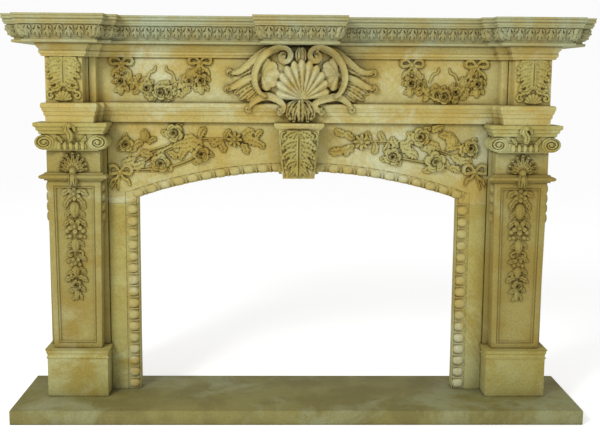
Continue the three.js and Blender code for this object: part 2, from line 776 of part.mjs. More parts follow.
// The acanthus leaf and small shell on each end block.
function blockLeaf(side) {
  const x = (side * (BLOCK_INNER + BLOCK_OUTER)) / 2;
  const width = BLOCK_OUTER - BLOCK_INNER;
  return [
    acanthus(x, BED_Z - 2, FIELD_HEIGHT * 0.72, width * 0.86, -90, 4, 9),
    shell(x, FIELD_Z + 8, 30, 5, 150, 90, 4),
  ];
}

// The swags hang in the panel on each side of the cartouche: a point is so far in from the
// stile and so far up from the panel's foot.
function garlands() {
  const hang = (side) => (inward, up) => [side * (STILE_INNER - inward), FIELD_Z + up];
  const left = hang(-1);
  const right = hang(1);
  return [
    swag(left, [81, 134], [347, 138], 38),
    swag(right, [78, 132], [300, 133], 27),
  ];
}

// A swag of flowers between two bows, thick in the middle, with a drop under each bow.
function swag(p, from, to, low) {
  const middle = [(from[0] + to[0]) / 2, low];
  const count = 6;
  const along = (t) => {
    const bend = 4 * t * (1 - t);
    const x = from[0] + (to[0] - from[0]) * t;
    const y = from[1] + (to[1] - from[1]) * t;
    return [x, y - 18 - (y - 18 - middle[1]) * bend ** 0.8];
  };
  const flowers = Array.from({ length: count }, (_, i) => {
    const t = (i + 0.5) / count;
    const size = 12 + 12 * Math.sin(Math.PI * t);
    return boss(...p(...along(t)), size, RELIEF * (0.8 + 0.5 * Math.sin(Math.PI * t)));
  });
  const leaves = Array.from({ length: 3 }, (_, i) => {
    const t = (i + 0.5) / 3;
    const [a, b] = along(t);
    return leaf(...p(a, b), i % 2 ? 70 : -110, 36);
  });
  const drops = [from, to].map(([a, b]) => [
    boss(...p(a, b - 42), 14, RELIEF),
    boss(...p(a - 4, b - 66), 17, RELIEF * 1.1, 5),
    leaf(...p(a, b - 74), -90, 40, 12),
    strand([[...p(a, b), 0], [...p(a, b - 20), 2], [...p(a, b - 48), 0]], [4], { sides: 3 }),
  ]);
  return [flowers, boss(...p(...middle), 25, RELIEF * 1.35, 5), leaves, drops, bow(...p(...from), 24), bow(...p(...to), 24)];
}

// The shell cartouche at the middle: a raised core, C-scrolls, a ribbed shell and an acanthus foot.
function cartouche() {
  const up = (v) => FIELD_Z + v;
  const stand = PANEL_FACE - BLOCK_FACE;
  const core = loft([
    coreRing(up, 0, 0.62, 192, -46),
    coreRing(up, stand * 0.35, 0.6, 190, -30),
    coreRing(up, stand * 0.7, 0.5, 186, 10),
  ]);
  const ribs = join(shell(0, up(14), 128, 7, 130, 90, 18)).translate([0, 0, stand * 0.52]);
  const sides = [-1, 1].map((side) => {
    const q = (x, v, z) => [side * x, up(v), z];
    return [
      scroll(
        [q(222, 108, 4), q(196, 132, 14), q(160, 162, 30), q(115, 180, 46)],
        [side * 54, up(153)],
        25,
        1.1,
        side,
        11,
        stand * 0.75,
      ),
      strand([q(170, 150, -2), q(132, 146, 7), q(118, 110, 10), q(126, 70, 6), q(108, 34, -3)], [14, 20, 14]),
      strand([q(150, 60, 4), q(205, 70, 7), q(244, 122, -4)], [14, 12]),
      strand([q(140, 20, 4), q(200, 30, 6), q(252, 64, -4)], [13, 11]),
      strand([q(58, -34, 14), q(88, 18, 26), q(124, 30, 26), q(158, 12, 20), q(182, -24, 12)], [12, 13, 11]),
      strand([q(20, 12, 30), q(46, -2, 34), q(56, -28, 18)], [13]),
    ];
  });
  const foot = [
    strand([[0, up(20), 30], [0, up(-20), 38], [0, up(-56), 18]], [22]),
    strand([[0, up(185), 20], [0, up(168), stand * 0.8], [0, up(138), stand * 0.6]], [20, 18]),
  ];
  return [core, ribs, sides, foot];
}

function coreRing(up, z, share, top, bottom) {
  const half = 180 * share;
  return [
    [-half, up(bottom + 40), z],
    [-half * 0.5, up(bottom), z],
    [half * 0.5, up(bottom), z],
    [half, up(bottom + 40), z],
    [half, up(top - 30), z],
    [half * 0.6, up(top), z],
    [-half * 0.6, up(top), z],
    [-half, up(top - 30), z],
  ];
}

function mantelShelf() {
  const plan = brokenPlan([
    [CENTRE_HALF, faceY(BLOCK_FACE)],
    [STILE_INNER, faceY(PANEL_FACE + 6)],
    [BLOCK_INNER, faceY(STILE_FACE)],
    [BLOCK_OUTER - 3, faceY(BLOCK_FACE)],
    [BLOCK_OUTER - 3 + SHELF_END_STEP, faceY(STILE_FACE)],
  ]);
  const level = (share) => SHELF_Z + share * SHELF_HEIGHT;
  const out = (share) => SHELF_RISER + share * (SHELF_OVERHANG - SHELF_RISER);
  return moulded(plan, [
    [level(0), out(0)],
    [level(0.11), out(0)],
    [level(0.12), out(-0.3)],
    [level(0.18), out(-0.3)],
    [level(0.28), out(0.12)],
    [level(0.42), out(0.42)],
    [level(0.62), out(0.56)],
    [level(0.68), out(0.8)],
    [level(0.8), out(0.84)],
    [level(0.82), out(1)],
    [level(1), out(1)],
  ]);
}

const limestone = new THREE.MeshStandardMaterial({ color: 0xb3a468, roughness: 0.88, metalness: 0 });
const hearthstone = new THREE.MeshStandardMaterial({ color: 0x8f8450, roughness: 0.9, metalness: 0 });

const mantel = new THREE.Group();

function place(name, stone, material = limestone, x = 0) {
  const made = stone.getMesh();
  const geometry = new THREE.BufferGeometry();
  geometry.setAttribute("position", new THREE.BufferAttribute(new Float32Array(made.vertProperties), 3));
  geometry.setIndex(new THREE.BufferAttribute(new Uint32Array(made.triVerts), 1));
  geometry.computeVertexNormals();
  const mesh = new THREE.Mesh(geometry, material);
  mesh.name = name;
  mesh.position.x = x;
  mantel.add(mesh);
}

place("hearth_slab", hearthSlab(), hearthstone);
for (const [name, side] of [
  ["left", -1],
  ["right", 1],
]) {
  place(name + "_plinth", plinth(), limestone, side * PILASTER_X);
  place(name + "_shaft", shaft(), limestone, side * PILASTER_X);
  place(name + "_capital", capital(), limestone, side * PILASTER_X);
  const slip = jambSlip();
  place(name + "_jamb_slip", side > 0 ? slip : slip.mirror([1, 0, 0]));
}
place("arch_header", archHeader());
place("keystone", keystone());
place("frieze", frieze());
place("mantel_shelf", mantelShelf());

export default mantel;
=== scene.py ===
# %% [markdown]
# A carved limestone fireplace mantel. The real one is built from blocks, each cut with long
# mouldings and then carved on its face. This lesson makes it the same way: every block is a
# closed skin lofted from its plan and profile, and the carving is a second skin grown from a
# height map, so that petals, ribs and scrolls melt into each other as cut stone does.

# %% Load the frame and keep its box
import json
import math

import bmesh
import bpy
import numpy as np
from mathutils import Matrix, Vector

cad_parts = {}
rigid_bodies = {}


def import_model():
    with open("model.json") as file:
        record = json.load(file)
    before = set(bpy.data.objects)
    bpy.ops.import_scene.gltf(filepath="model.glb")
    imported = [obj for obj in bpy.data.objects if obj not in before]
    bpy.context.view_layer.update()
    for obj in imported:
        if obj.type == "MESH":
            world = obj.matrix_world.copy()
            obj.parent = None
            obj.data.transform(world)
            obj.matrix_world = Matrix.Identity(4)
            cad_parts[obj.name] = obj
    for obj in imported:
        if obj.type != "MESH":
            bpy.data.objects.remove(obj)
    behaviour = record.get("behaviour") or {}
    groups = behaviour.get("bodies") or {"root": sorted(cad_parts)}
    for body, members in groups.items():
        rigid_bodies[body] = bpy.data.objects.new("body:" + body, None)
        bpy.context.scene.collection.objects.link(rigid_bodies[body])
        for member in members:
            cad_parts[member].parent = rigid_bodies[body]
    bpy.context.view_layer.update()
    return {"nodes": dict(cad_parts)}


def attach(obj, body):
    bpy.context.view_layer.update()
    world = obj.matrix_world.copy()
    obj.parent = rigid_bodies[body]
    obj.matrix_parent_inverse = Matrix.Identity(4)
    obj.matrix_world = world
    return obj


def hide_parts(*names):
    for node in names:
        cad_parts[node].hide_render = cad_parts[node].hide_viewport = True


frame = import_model()
MM = 0.001
print("nodes in the frame:", len(frame["nodes"]))

# %% [markdown]
# The sizes are the stonecutter's own, in millimetres, as in the solid model. Faces are given as
# distances behind the front edge of the hearth, which is how a mason sets them out.

# %% Sizes of the stones
JOINT = 0.3
HEARTH_MARGIN, HEARTH_DEPTH, HEARTH_THICK = 97, 400, 50
OPENING_HALF, SPRING_HEIGHT, ARCH_RISE = 559, 740, 94
PLINTH_FACE, SHAFT_FACE, CAPITAL_FACE = 152, 165, 115
BACKING_FACE, SLIP_FACE, SLIP_THICK, KEY_FACE = 225, 235, 60, 165
ARCHITRAVE_FACE, BLOCK_FACE, STILE_FACE, PANEL_FACE = 119, 128, 178, 222
SLIP_WIDTH, PLINTH_WIDTH, PLINTH_BLOCK, PLINTH_CAP = 100.7, 208, 139, 30
BACKING_WIDTH, SHAFT_HEIGHT, SHAFT_FOOT_WIDTH, SHAFT_HEAD_WIDTH = 204, 586, 166, 181
SHAFT_LEAN, PANEL_MARGIN, PANEL_SINK = 5, 26, 7
ASTRAGAL_HEIGHT, ASTRAGAL_WIDTH, ASTRAGAL_RETURN, NECK_HEIGHT = 28, 230, 30, 74
CAPITAL_HEIGHT, ABACUS_HEIGHT, ABACUS_WIDTH = 95.4, 40, 245
VOLUTE_SPREAD, BOLSTER_SPREAD, VOLUTE_RADIUS = 82, 97, 26
JAMB_EGG_BAND, ARCH_EGG_BAND, EGG_SINK, SPRAY_INSET = 43, 32, 13, 50
JAMB_EGG_PITCH, ARCH_EGG_PITCH, HEADER_FOOT = 43, 50, 20
KEY_CAP_WIDTH, KEY_CAP_HEIGHT, KEY_HEAD_WIDTH, KEY_FOOT_WIDTH, KEY_DROP = 170, 22, 138, 113, 21
ARCHITRAVE_HEIGHT, ARCHITRAVE_BLOCK_WIDTH, ARCHITRAVE_STEP = 66, 158, 14
FIELD_HEIGHT, BED_HEIGHT = 152, 43.7
BLOCK_WIDTH, BLOCK_SHIFT, STILE_WIDTH, CENTRE_HALF = 123, 17.5, 35, 68
SHELF_HEIGHT, SHELF_OVERHANG, SHELF_RISER, SHELF_END_STEP = 92, 88, 62, 46

FRONT, BACK = -HEARTH_DEPTH / 2, HEARTH_DEPTH / 2
PLINTH_Z = HEARTH_THICK + JOINT
SHAFT_Z = PLINTH_Z + PLINTH_BLOCK + PLINTH_CAP + JOINT
ASTRAGAL_Z = SHAFT_Z + SHAFT_HEIGHT
NECK_Z = ASTRAGAL_Z + ASTRAGAL_HEIGHT
CAPITAL_Z = NECK_Z + NECK_HEIGHT + JOINT
FRIEZE_Z = CAPITAL_Z + CAPITAL_HEIGHT + JOINT
FIELD_Z = FRIEZE_Z + ARCHITRAVE_HEIGHT
BED_Z = FIELD_Z + FIELD_HEIGHT
SHELF_Z = BED_Z + BED_HEIGHT + JOINT
HEADER_Z = SPRING_HEIGHT - HEADER_FOOT
HEADER_TOP = FRIEZE_Z - JOINT
SLIP_OUTER = OPENING_HALF + SLIP_WIDTH
PILASTER_X = SLIP_OUTER + JOINT + PLINTH_WIDTH / 2
HEARTH_WIDTH = 2 * (PILASTER_X + PLINTH_WIDTH / 2 + HEARTH_MARGIN)
BLOCK_INNER = PILASTER_X + BLOCK_SHIFT - BLOCK_WIDTH / 2
BLOCK_OUTER = PILASTER_X + BLOCK_SHIFT + BLOCK_WIDTH / 2
ARCH_RADIUS = (OPENING_HALF**2 + ARCH_RISE**2) / (2 * ARCH_RISE)
ARCH_CENTRE_Z = SPRING_HEIGHT + ARCH_RISE - ARCH_RADIUS
STILE_INNER = BLOCK_INNER - STILE_WIDTH


def face(set_back):
    return FRONT + set_back


print("arch radius, mm:", round(ARCH_RADIUS))

# %% [markdown]
# The camera stands where the photographer stood: a little left of the middle, about shoulder
# height, looking slightly down. Its place was worked out from the corners of the stones.

# %% Camera
CAMERA_AT = Vector((-0.0711, FRONT * MM - 3.1862, 1.1563))
PITCH, YAW, ROLL = 0.142, 0.0228, 0.0075
FOCAL_PIXELS, SHIFT_PIXELS, IMAGE_WIDTH = 986.4, 2.08, 600

forward = Vector((math.sin(YAW) * math.cos(PITCH), math.cos(YAW) * math.cos(PITCH), -math.sin(PITCH)))
right = Vector((math.cos(YAW), -math.sin(YAW), 0))
down = forward.cross(right)
right_rolled = right * math.cos(ROLL) - down * math.sin(ROLL)
up_rolled = -(right * math.sin(ROLL) + down * math.cos(ROLL))

camera_data = bpy.data.cameras.new("camera")
camera_data.sensor_width = 36
camera_data.lens = FOCAL_PIXELS / IMAGE_WIDTH * camera_data.sensor_width
camera_data.shift_y = SHIFT_PIXELS / IMAGE_WIDTH
camera = bpy.data.objects.new("camera", camera_data)
turn = Matrix((right_rolled, up_rolled, -forward)).transposed()
camera.matrix_world = Matrix.Translation(CAMERA_AT) @ turn.to_4x4()
bpy.context.scene.collection.objects.link(camera)
bpy.context.scene.camera = camera
print("lens, mm:", round(camera_data.lens, 1))

# %% [markdown]
# Old limestone is never one colour. Under a honey ground lie olive and grey clouds and pale
# patches, with a fine grain and rare dark pits. Ambient occlusion paints shade into creases and
# hollows in a brown grime colour, which stands for both that painted shade and the dirt a duster
# can't reach. One node group holds that ageing and painted shade, so the pale stones and the
# darker hearth wear it with their own values.

# %% Weathered stone and painted crease shade as a node group


def new_socket(group, name, kind, value=None, out=False):
    socket = group.interface.new_socket(name, in_out="OUTPUT" if out else "INPUT", socket_type=kind)
    if value is not None:
        socket.default_value = value
    return socket


class Wiring:
    """Short calls for adding nodes to a tree and joining them up."""

    def __init__(self, tree):
        self.tree = tree

    def node(self, kind, settings=None, **inputs):
        made = self.tree.nodes.new(kind)
        for key, value in (settings or {}).items():
            setattr(made, key, value)
        for key, value in inputs.items():
            self.feed(made.inputs[key.replace("_", " ")], value)
        return made

    def feed(self, socket, value):
        if isinstance(value, bpy.types.NodeSocket):
            self.tree.links.new(value, socket)
        else:
            socket.default_value = value

    def math(self, operation, a, b=0.0):
        made = self.tree.nodes.new("ShaderNodeMath")
        made.operation = operation
        self.feed(made.inputs[0], a)
        self.feed(made.inputs[1], b)
        return made.outputs[0]

    def band(self, value, low, high, to_low=0.0, to_high=1.0):
        made = self.tree.nodes.new("ShaderNodeMapRange")
        made.interpolation_type = "SMOOTHSTEP"
        for socket, given in zip(made.inputs, (value, low, high, to_low, to_high)):
            self.feed(socket, given)
        return made.outputs[0]

    def mix(self, share, a, b, blend="MIX"):
        made = self.tree.nodes.new("ShaderNodeMix")
        made.data_type = "RGBA"
        made.blend_type = blend
        self.feed(made.inputs[0], share)
        self.feed(made.inputs[6], a)
        self.feed(made.inputs[7], b)
        return made.outputs[2]


def weathered_stone_and_shade():
    group = bpy.data.node_groups.new("weathered stone", "ShaderNodeTree")
    new_socket(group, "Ground", "NodeSocketColor", (0.5, 0.4, 0.17, 1))
    new_socket(group, "Stain", "NodeSocketColor", (0.3, 0.27, 0.11, 1))
    new_socket(group, "Pale", "NodeSocketColor", (0.5, 0.47, 0.33, 1))
    # The grime colour darkens the rare pits and also paints the shade in creases and hollows; its amount
    # scales only that painted shade and dirt.
    new_socket(group, "Grime", "NodeSocketColor", (0.1, 0.06, 0.015, 1))
    new_socket(group, "Grime amount", "NodeSocketFloat", 1.0)
    new_socket(group, "Cloud size", "NodeSocketFloat", 7.0)
    new_socket(group, "Color", "NodeSocketColor", out=True)
    new_socket(group, "Roughness", "NodeSocketFloat", out=True)
    new_socket(group, "Height", "NodeSocketFloat", out=True)
    w = Wiring(group)
    given = w.node("NodeGroupInput")
    spot = w.node("ShaderNodeTexCoord").outputs["Object"]

    def noise(scale, detail, roughness, **more):
        inputs = {"Scale": scale, "Detail": detail, "Roughness": roughness, **more}
        return w.node("ShaderNodeTexNoise", Vector=spot, **inputs)

    clouds = noise(given.outputs["Cloud size"], 6.0, 0.62)
    patches = noise(3.1, 5.0, 0.7, Distortion=0.6)
    grain = noise(160.0, 4.0, 0.7)
    specks = w.node("ShaderNodeTexVoronoi", Vector=spot, Scale=95.0)
    streaks = noise(24.0, 5.0, 0.65)

    stone = w.mix(w.band(clouds.outputs["Fac"], 0.38, 0.62), given.outputs["Ground"], given.outputs["Stain"])
    stone = w.mix(w.band(patches.outputs["Fac"], 0.48, 0.66, 0.0, 0.85), stone, given.outputs["Pale"])
    fine = w.band(grain.outputs["Fac"], 0.3, 0.7, 0.86, 1.12)
    shade = w.node("ShaderNodeCombineColor", Red=fine, Green=fine, Blue=fine).outputs[0]
    stone = w.mix(1.0, stone, shade, "MULTIPLY")
    pits = w.band(specks.outputs["Distance"], 0.05, 0.22, 1.0, 0.0)
    rare = w.band(streaks.outputs["Fac"], 0.52, 0.62)
    pitted = w.math("MULTIPLY", pits, rare)
    stone = w.mix(w.math("MULTIPLY", pitted, 0.6), stone, given.outputs["Grime"])

    # Painted shade: ambient occlusion at two reaches darkens creases and hollows towards the grime colour,
    # which stands for both that shade and the dirt in them.
    near = w.node("ShaderNodeAmbientOcclusion", {"samples": 8}, Distance=0.012)
    wide = w.node("ShaderNodeAmbientOcclusion", {"samples": 8}, Distance=0.06)
    crease = w.band(near.outputs["AO"], 0.35, 0.9, 0.9, 0.0)
    hollow = w.band(wide.outputs["AO"], 0.2, 0.85, 0.34, 0.0)
    shade_and_dirt = w.math("MAXIMUM", crease, hollow)
    shade_and_dirt = w.math("MULTIPLY", shade_and_dirt, w.band(streaks.outputs["Fac"], 0.25, 0.6, 0.55, 1.0))
    shade_and_dirt = w.math("MULTIPLY", shade_and_dirt, given.outputs["Grime amount"])
    shade_and_dirt = w.math("MINIMUM", shade_and_dirt, 0.9)
    stone = w.mix(shade_and_dirt, stone, given.outputs["Grime"])

    rough = w.math("ADD", w.band(grain.outputs["Fac"], 0.3, 0.7, 0.72, 0.9), w.math("MULTIPLY", shade_and_dirt, 0.08))
    height = w.math("MULTIPLY", grain.outputs["Fac"], 0.35)
    height = w.math("ADD", height, w.math("MULTIPLY", streaks.outputs["Fac"], 0.8))
    height = w.math("SUBTRACT", height, w.math("MULTIPLY", pitted, 0.5))
    result = w.node("NodeGroupOutput")
    w.feed(result.inputs["Color"], stone)
    w.feed(result.inputs["Roughness"], rough)
    w.feed(result.inputs["Height"], height)
    return group


ageing_and_shade = weathered_stone_and_shade()
print("inputs of the ageing:", [i.name for i in ageing_and_shade.interface.items_tree if i.in_out == "INPUT"])

# %% [markdown]
# The blocks of one mantel don't match. The shelf is greyer, the shafts look dull in the shade of
# the shelf, the carving is darker and browner than the plain faces, and the hearth is an olive
# stone. Each is one material: its own colours in the same ageing and painted shade, and the same fine bump.

# %% The six stones
BUMP_STRENGTH, BUMP_DISTANCE = 0.5, 0.0025
STONE_SPECULAR = 0.3


def stone_material(name, grime_amount, **colours):
    made = bpy.data.materials.new(name)
    made.use_nodes = True
    made.node_tree.nodes.clear()
    w = Wiring(made.node_tree)
    aged_and_shaded = w.node("ShaderNodeGroup", {"node_tree": ageing_and_shade})
    for key, colour in colours.items():
        aged_and_shaded.inputs[key.capitalize()].default_value = (*colour, 1)
    # How strongly this stone takes the painted shade and dirt in its creases and hollows.
    aged_and_shaded.inputs["Grime amount"].default_value = grime_amount
    height = aged_and_shaded.outputs["Height"]
    relief = w.node("ShaderNodeBump", Strength=BUMP_STRENGTH, Distance=BUMP_DISTANCE, Height=height)
    shader = w.node("ShaderNodeBsdfPrincipled")
    w.feed(shader.inputs["Base Color"], aged_and_shaded.outputs["Color"])
    w.feed(shader.inputs["Roughness"], aged_and_shaded.outputs["Roughness"])
    w.feed(shader.inputs["Normal"], relief.outputs["Normal"])
    shader.inputs["Specular IOR Level"].default_value = STONE_SPECULAR
    w.feed(w.node("ShaderNodeOutputMaterial").inputs["Surface"], shader.outputs[0])
    return made


honey_stone = stone_material(
    "honey limestone",
    grime_amount=0.8,
    ground=(0.373, 0.328, 0.124),
    stain=(0.344, 0.258, 0.064),
    pale=(0.443, 0.451, 0.28),
    grime=(0.12, 0.075, 0.012),
)
carved_stone = stone_material(
    "stained carving",
    grime_amount=1.0,
    ground=(0.326, 0.258, 0.061),
    stain=(0.266, 0.184, 0.032),
    pale=(0.369, 0.353, 0.144),
    grime=(0.065, 0.038, 0.004),
)
ochre_stone = stone_material(
    "ochre limestone",
    grime_amount=0.85,
    ground=(0.32, 0.285, 0.088),
    stain=(0.285, 0.225, 0.05),
    pale=(0.38, 0.375, 0.175),
    grime=(0.085, 0.05, 0.008),
)
shaft_stone = stone_material(
    "shaded limestone",
    grime_amount=0.85,
    ground=(0.257, 0.215, 0.062),
    stain=(0.23, 0.172, 0.036),
    pale=(0.306, 0.284, 0.124),
    grime=(0.09, 0.055, 0.008),
)
shelf_stone = stone_material(
    "pale grey limestone",
    grime_amount=0.35,
    ground=(0.281, 0.285, 0.148),
    stain=(0.277, 0.238, 0.088),
    pale=(0.294, 0.327, 0.208),
    grime=(0.13, 0.09, 0.03),
)
hearth_stone = stone_material(
    "olive hearthstone",
    grime_amount=0.7,
    ground=(0.19, 0.172, 0.052),
    stain=(0.15, 0.13, 0.037),
    pale=(0.23, 0.235, 0.115),
    grime=(0.04, 0.03, 0.01),
)
print("materials:", [m.name for m in bpy.data.materials])

# %% [markdown]
# A skin is a closed surface: points and faces. Blocks are lofted from rings of points, the
# cheapest way to give a stone true mouldings that turn every corner in a mitre.

# %% Skins: lofting, growing a plan and joining


def signed_volume(points, faces):
    total = 0.0
    for f in faces:
        a = points[f[0]]
        for i in range(1, len(f) - 1):
            total += float(np.dot(a, np.cross(points[f[i]], points[f[i + 1]])))
    return total


def loft(rings):
    """A closed skin through rings of equally many points, with a face on each end."""
    rings = [np.asarray(ring, float) for ring in rings]
    n = len(rings[0])
    points = np.concatenate(rings)
    faces = []
    for r in range(len(rings) - 1):
        for i in range(n):
            a, b = r * n + i, r * n + (i + 1) % n
            faces.append((a, b, b + n, a + n))
    faces.append(tuple(range(n))[::-1])
    faces.append(tuple(range((len(rings) - 1) * n, len(rings) * n)))
    if signed_volume(points, faces) < 0:
        faces = [f[::-1] for f in faces]
    return points, faces


def grown_plan(plan, out, z):
    """A square-cornered plan with its edges moved out, except the one on the back."""
    n = len(plan)

    def shift(a, b):
        if a[1] == b[1]:
            return (0, 0) if a[1] == BACK else (0, -math.copysign(out, b[0] - a[0]))
        return (math.copysign(out, b[1] - a[1]), 0)

    ring = []
    for i, p in enumerate(plan):
        before, after = shift(plan[i - 1], p), shift(p, plan[(i + 1) % n])
        ring.append((p[0] + before[0] + after[0], p[1] + before[1] + after[1], z))
    return ring


def side_grown(plan, out, z):
    """A four-cornered plan grown forwards and sideways, with its back edge left in place."""
    (x0, y0), (x1, _), (_, y1), _ = plan
    return [(x0 - out, y0 - out, z), (x1 + out, y0 - out, z), (x1 + out, y1, z), (x0 - out, y1, z)]


def moulded(plan, profile):
    return loft([grown_plan(plan, out, z) for z, out in profile])


def broken_plan(steps):
    """The plan of a symmetric stone from the steps of its right half."""
    half = []
    for i, (x, y) in enumerate(steps):
        half += [(x, y), (x, steps[i + 1][1] if i + 1 < len(steps) else BACK)]
    return [(-x, y) for x, y in reversed(half)] + half


def block_plan(half, set_back, back=BACK):
    return [(-half, face(set_back)), (half, face(set_back)), (half, back), (-half, back)]


def joined(*skins):
    """Several skins as one."""
    points, faces, start = [], [], 0
    for p, f in skins:
        points.append(p)
        faces += [tuple(i + start for i in face_) for face_ in f]
        start += len(p)
    return np.concatenate(points), faces


def moved(skin, x):
    return skin[0] + np.array([x, 0.0, 0.0]), skin[1]


def mirrored(skin):
    return skin[0] * np.array([-1, 1, 1]), [f[::-1] for f in skin[1]]


trial_block = moulded(block_plan(50, 0), [(0, 0), (100, 0)])
print("litres in a trial block as deep as the hearth:", signed_volume(*trial_block) / 6e6)

# %% [markdown]
# A lofted block has knife edges, and a real one never does. A bevel wears every arris. It is
# made skin by skin, so that a small face on one skin doesn't limit the wear on the next. Then
# the skins of a block are joined into one mesh, smooth wherever its faces meet at a low angle.

# %% Stones from skins
WORN_ARRIS = 1.6
ARRIS_ANGLE, SMOOTH_ANGLE = 35, 42
SLIVER = 0.001


def stone_object(name, skin, material, bevel):
    """A mesh object from a skin, with its sharp arrises softened."""
    mesh = bpy.data.meshes.new(name)
    mesh.from_pydata((skin[0] * MM).tolist(), [], skin[1])
    mesh.materials.append(material)
    made = bpy.data.objects.new(name, mesh)
    bpy.context.scene.collection.objects.link(made)
    if bevel:
        rounding = made.modifiers.new("worn arris", "BEVEL")
        rounding.width = bevel * MM
        rounding.segments = 2
        rounding.limit_method = "ANGLE"
        rounding.angle_limit = math.radians(ARRIS_ANGLE)
        rounding.use_clamp_overlap = True
    return made


def baked(made):
    """The object with its modifiers turned into plain mesh."""
    graph = bpy.context.evaluated_depsgraph_get()
    mesh = bpy.data.meshes.new_from_object(made.evaluated_get(graph))
    made.modifiers.clear()
    made.data = mesh
    return made


def cut_stones(skins, material, bevel=WORN_ARRIS):
    """Each skin as an object of its own with its arrises worn."""
    return [baked(stone_object("cut stone", skin, material, bevel)) for skin in skins]


def merged(name, pieces):
    """Objects joined into one mesh, each with its own stone, smoothly shaded up to an angle."""
    bm = bmesh.new()
    stones = []
    for piece in pieces:
        stone = piece.data.materials[0]
        if stone not in stones:
            stones.append(stone)
        start = len(bm.faces)
        bm.from_mesh(piece.data)
        bm.faces.ensure_lookup_table()
        for added in bm.faces[start:]:
            added.material_index = stones.index(stone)
    bmesh.ops.dissolve_degenerate(bm, edges=bm.edges, dist=SLIVER * MM)
    mesh = bpy.data.meshes.new(name)
    bm.to_mesh(mesh)
    bm.free()
    for stone in stones:
        mesh.materials.append(stone)
    for piece in pieces:
        bpy.data.objects.remove(piece)
    made = bpy.data.objects.new(name, mesh)
    bpy.context.scene.collection.objects.link(made)
    mesh.shade_smooth()
    mesh.set_sharp_from_angle(angle=math.radians(SMOOTH_ANGLE))
    print(f"{name}: {len(mesh.polygons)} faces, {len(stones)} kinds of stone")
    return made


# %% [markdown]
# Mouldings have names and simple sections. Each helper gives the points of one section between
# two heights, so a profile reads from the bottom up like a mason's template.

# %% Sections of mouldings


def ovolo(z0, out0, z1, out1, steps=6):
    """A quarter round that bulges out."""
    turns = [i / steps * math.pi / 2 for i in range(steps + 1)]
    return [(z0 + (z1 - z0) * (1 - math.cos(a)), out0 + (out1 - out0) * math.sin(a)) for a in turns]


def cavetto(z0, out0, z1, out1, steps=6):
    """A quarter hollow."""
    turns = [i / steps * math.pi / 2 for i in range(steps + 1)]
    return [(z0 + (z1 - z0) * math.sin(a), out0 + (out1 - out0) * (1 - math.cos(a))) for a in turns]


def cyma(z0, out0, z1, out1, steps=10):
    """An S curve, hollow below and full above."""
    shares = [i / steps for i in range(steps + 1)]
    return [(z0 + (z1 - z0) * s, out0 + (out1 - out0) * (s - math.sin(2 * math.pi * s) / 9)) for s in shares]


def torus(z0, z1, base, swell, steps=8):
    """A half round bar."""
    turns = [i / steps * math.pi for i in range(steps + 1)]
    middle, half = (z0 + z1) / 2, (z1 - z0) / 2
    return [(middle - half * math.cos(a), base + swell * math.sin(a)) for a in turns]


print("points in a torus:", len(torus(0, 20, 0, 10)))

# %% [markdown]
# The carving. A height map is a fine grid laid on a face of the stone. Each ornament is a small
# formula that says how high the stone stands round a point or along a line, and the map keeps
# the highest, so overlapping petals meet in a crease. Only the cells that rise above the face
# become a skin, which dips just under the surface at its rim.

# %% Height maps
UNDER = -2.2
SKIN_DEPTH = -6.0
NOTHING = -50.0


class Carving:
    """A height map over a rectangle of a face."""

    def __init__(self, u0, u1, v0, v1, cell=1.9):
        self.u = np.arange(u0, u1 + cell, cell)
        self.v = np.arange(v0, v1 + cell, cell)
        self.height = np.full((len(self.u), len(self.v)), NOTHING)

    def stands(self):
        """How far the highest point stands out."""
        return round(float(self.height.max()), 1)

    def add(self, box, shape, base=0.0):
        """Raises the map to a shape inside a box of (low u, low v, high u, high v)."""
        i0, i1 = np.searchsorted(self.u, [box[0], box[2]])
        j0, j1 = np.searchsorted(self.v, [box[1], box[3]])
        if i1 - i0 < 2 or j1 - j0 < 2:
            return
        u, v = np.meshgrid(self.u[i0:i1], self.v[j0:j1], indexing="ij")
        raised = shape(u, v)
        lift = base(u, v) if callable(base) else base
        raised = np.where(raised > UNDER, raised + lift, NOTHING)
        window = self.height[i0:i1, j0:j1]
        self.height[i0:i1, j0:j1] = np.maximum(window, raised)

    def skin(self, place):
        """The closed skin of what stands up, placed by a function of u, v and the height."""
        h = np.maximum(self.height, UNDER)
        up = self.height > UNDER
        cells = up[:-1, :-1] | up[1:, :-1] | up[:-1, 1:] | up[1:, 1:]
        used = np.zeros_like(up)
        for di in (0, 1):
            for dj in (0, 1):
                used[di : di + cells.shape[0], dj : dj + cells.shape[1]] |= cells
        number = np.full(up.shape, -1)
        number[used] = np.arange(used.sum())
        count = int(used.sum())
        iu, iv = np.nonzero(used)
        top = place(self.u[iu], self.v[iv], h[iu, iv])
        low = place(self.u[iu], self.v[iv], np.full(count, SKIN_DEPTH))
        a, b = np.nonzero(cells)
        corners = [number[a, b], number[a + 1, b], number[a + 1, b + 1], number[a, b + 1]]
        upper = np.stack(corners, 1)
        lower = upper[:, ::-1] + count
        padded = np.pad(cells, 1)
        walls = []
        for (du, dv), (p, q) in (((0, -1), (0, 1)), ((1, 0), (1, 2)), ((0, 1), (2, 3)), ((-1, 0), (3, 0))):
            open_side = ~padded[a + 1 + du, b + 1 + dv]
            start, end = corners[p][open_side], corners[q][open_side]
            walls.append(np.stack([end, start, start + count, end + count], 1))
        faces = np.concatenate([upper, lower, *walls])
        points = np.concatenate([top, low])
        ends = points[faces[0]]
        turned = np.cross(ends[1] - ends[0], ends[2] - ends[1])
        outward = top[upper[0][0]] - low[upper[0][0]]
        if np.dot(turned, outward) < 0:
            faces = faces[:, ::-1]
        return points, [tuple(f) for f in faces.tolist()]


def on_front(y):
    """Places a carving on a face that looks forward."""
    return lambda u, v, w: np.stack([u, y - w, v], 1)


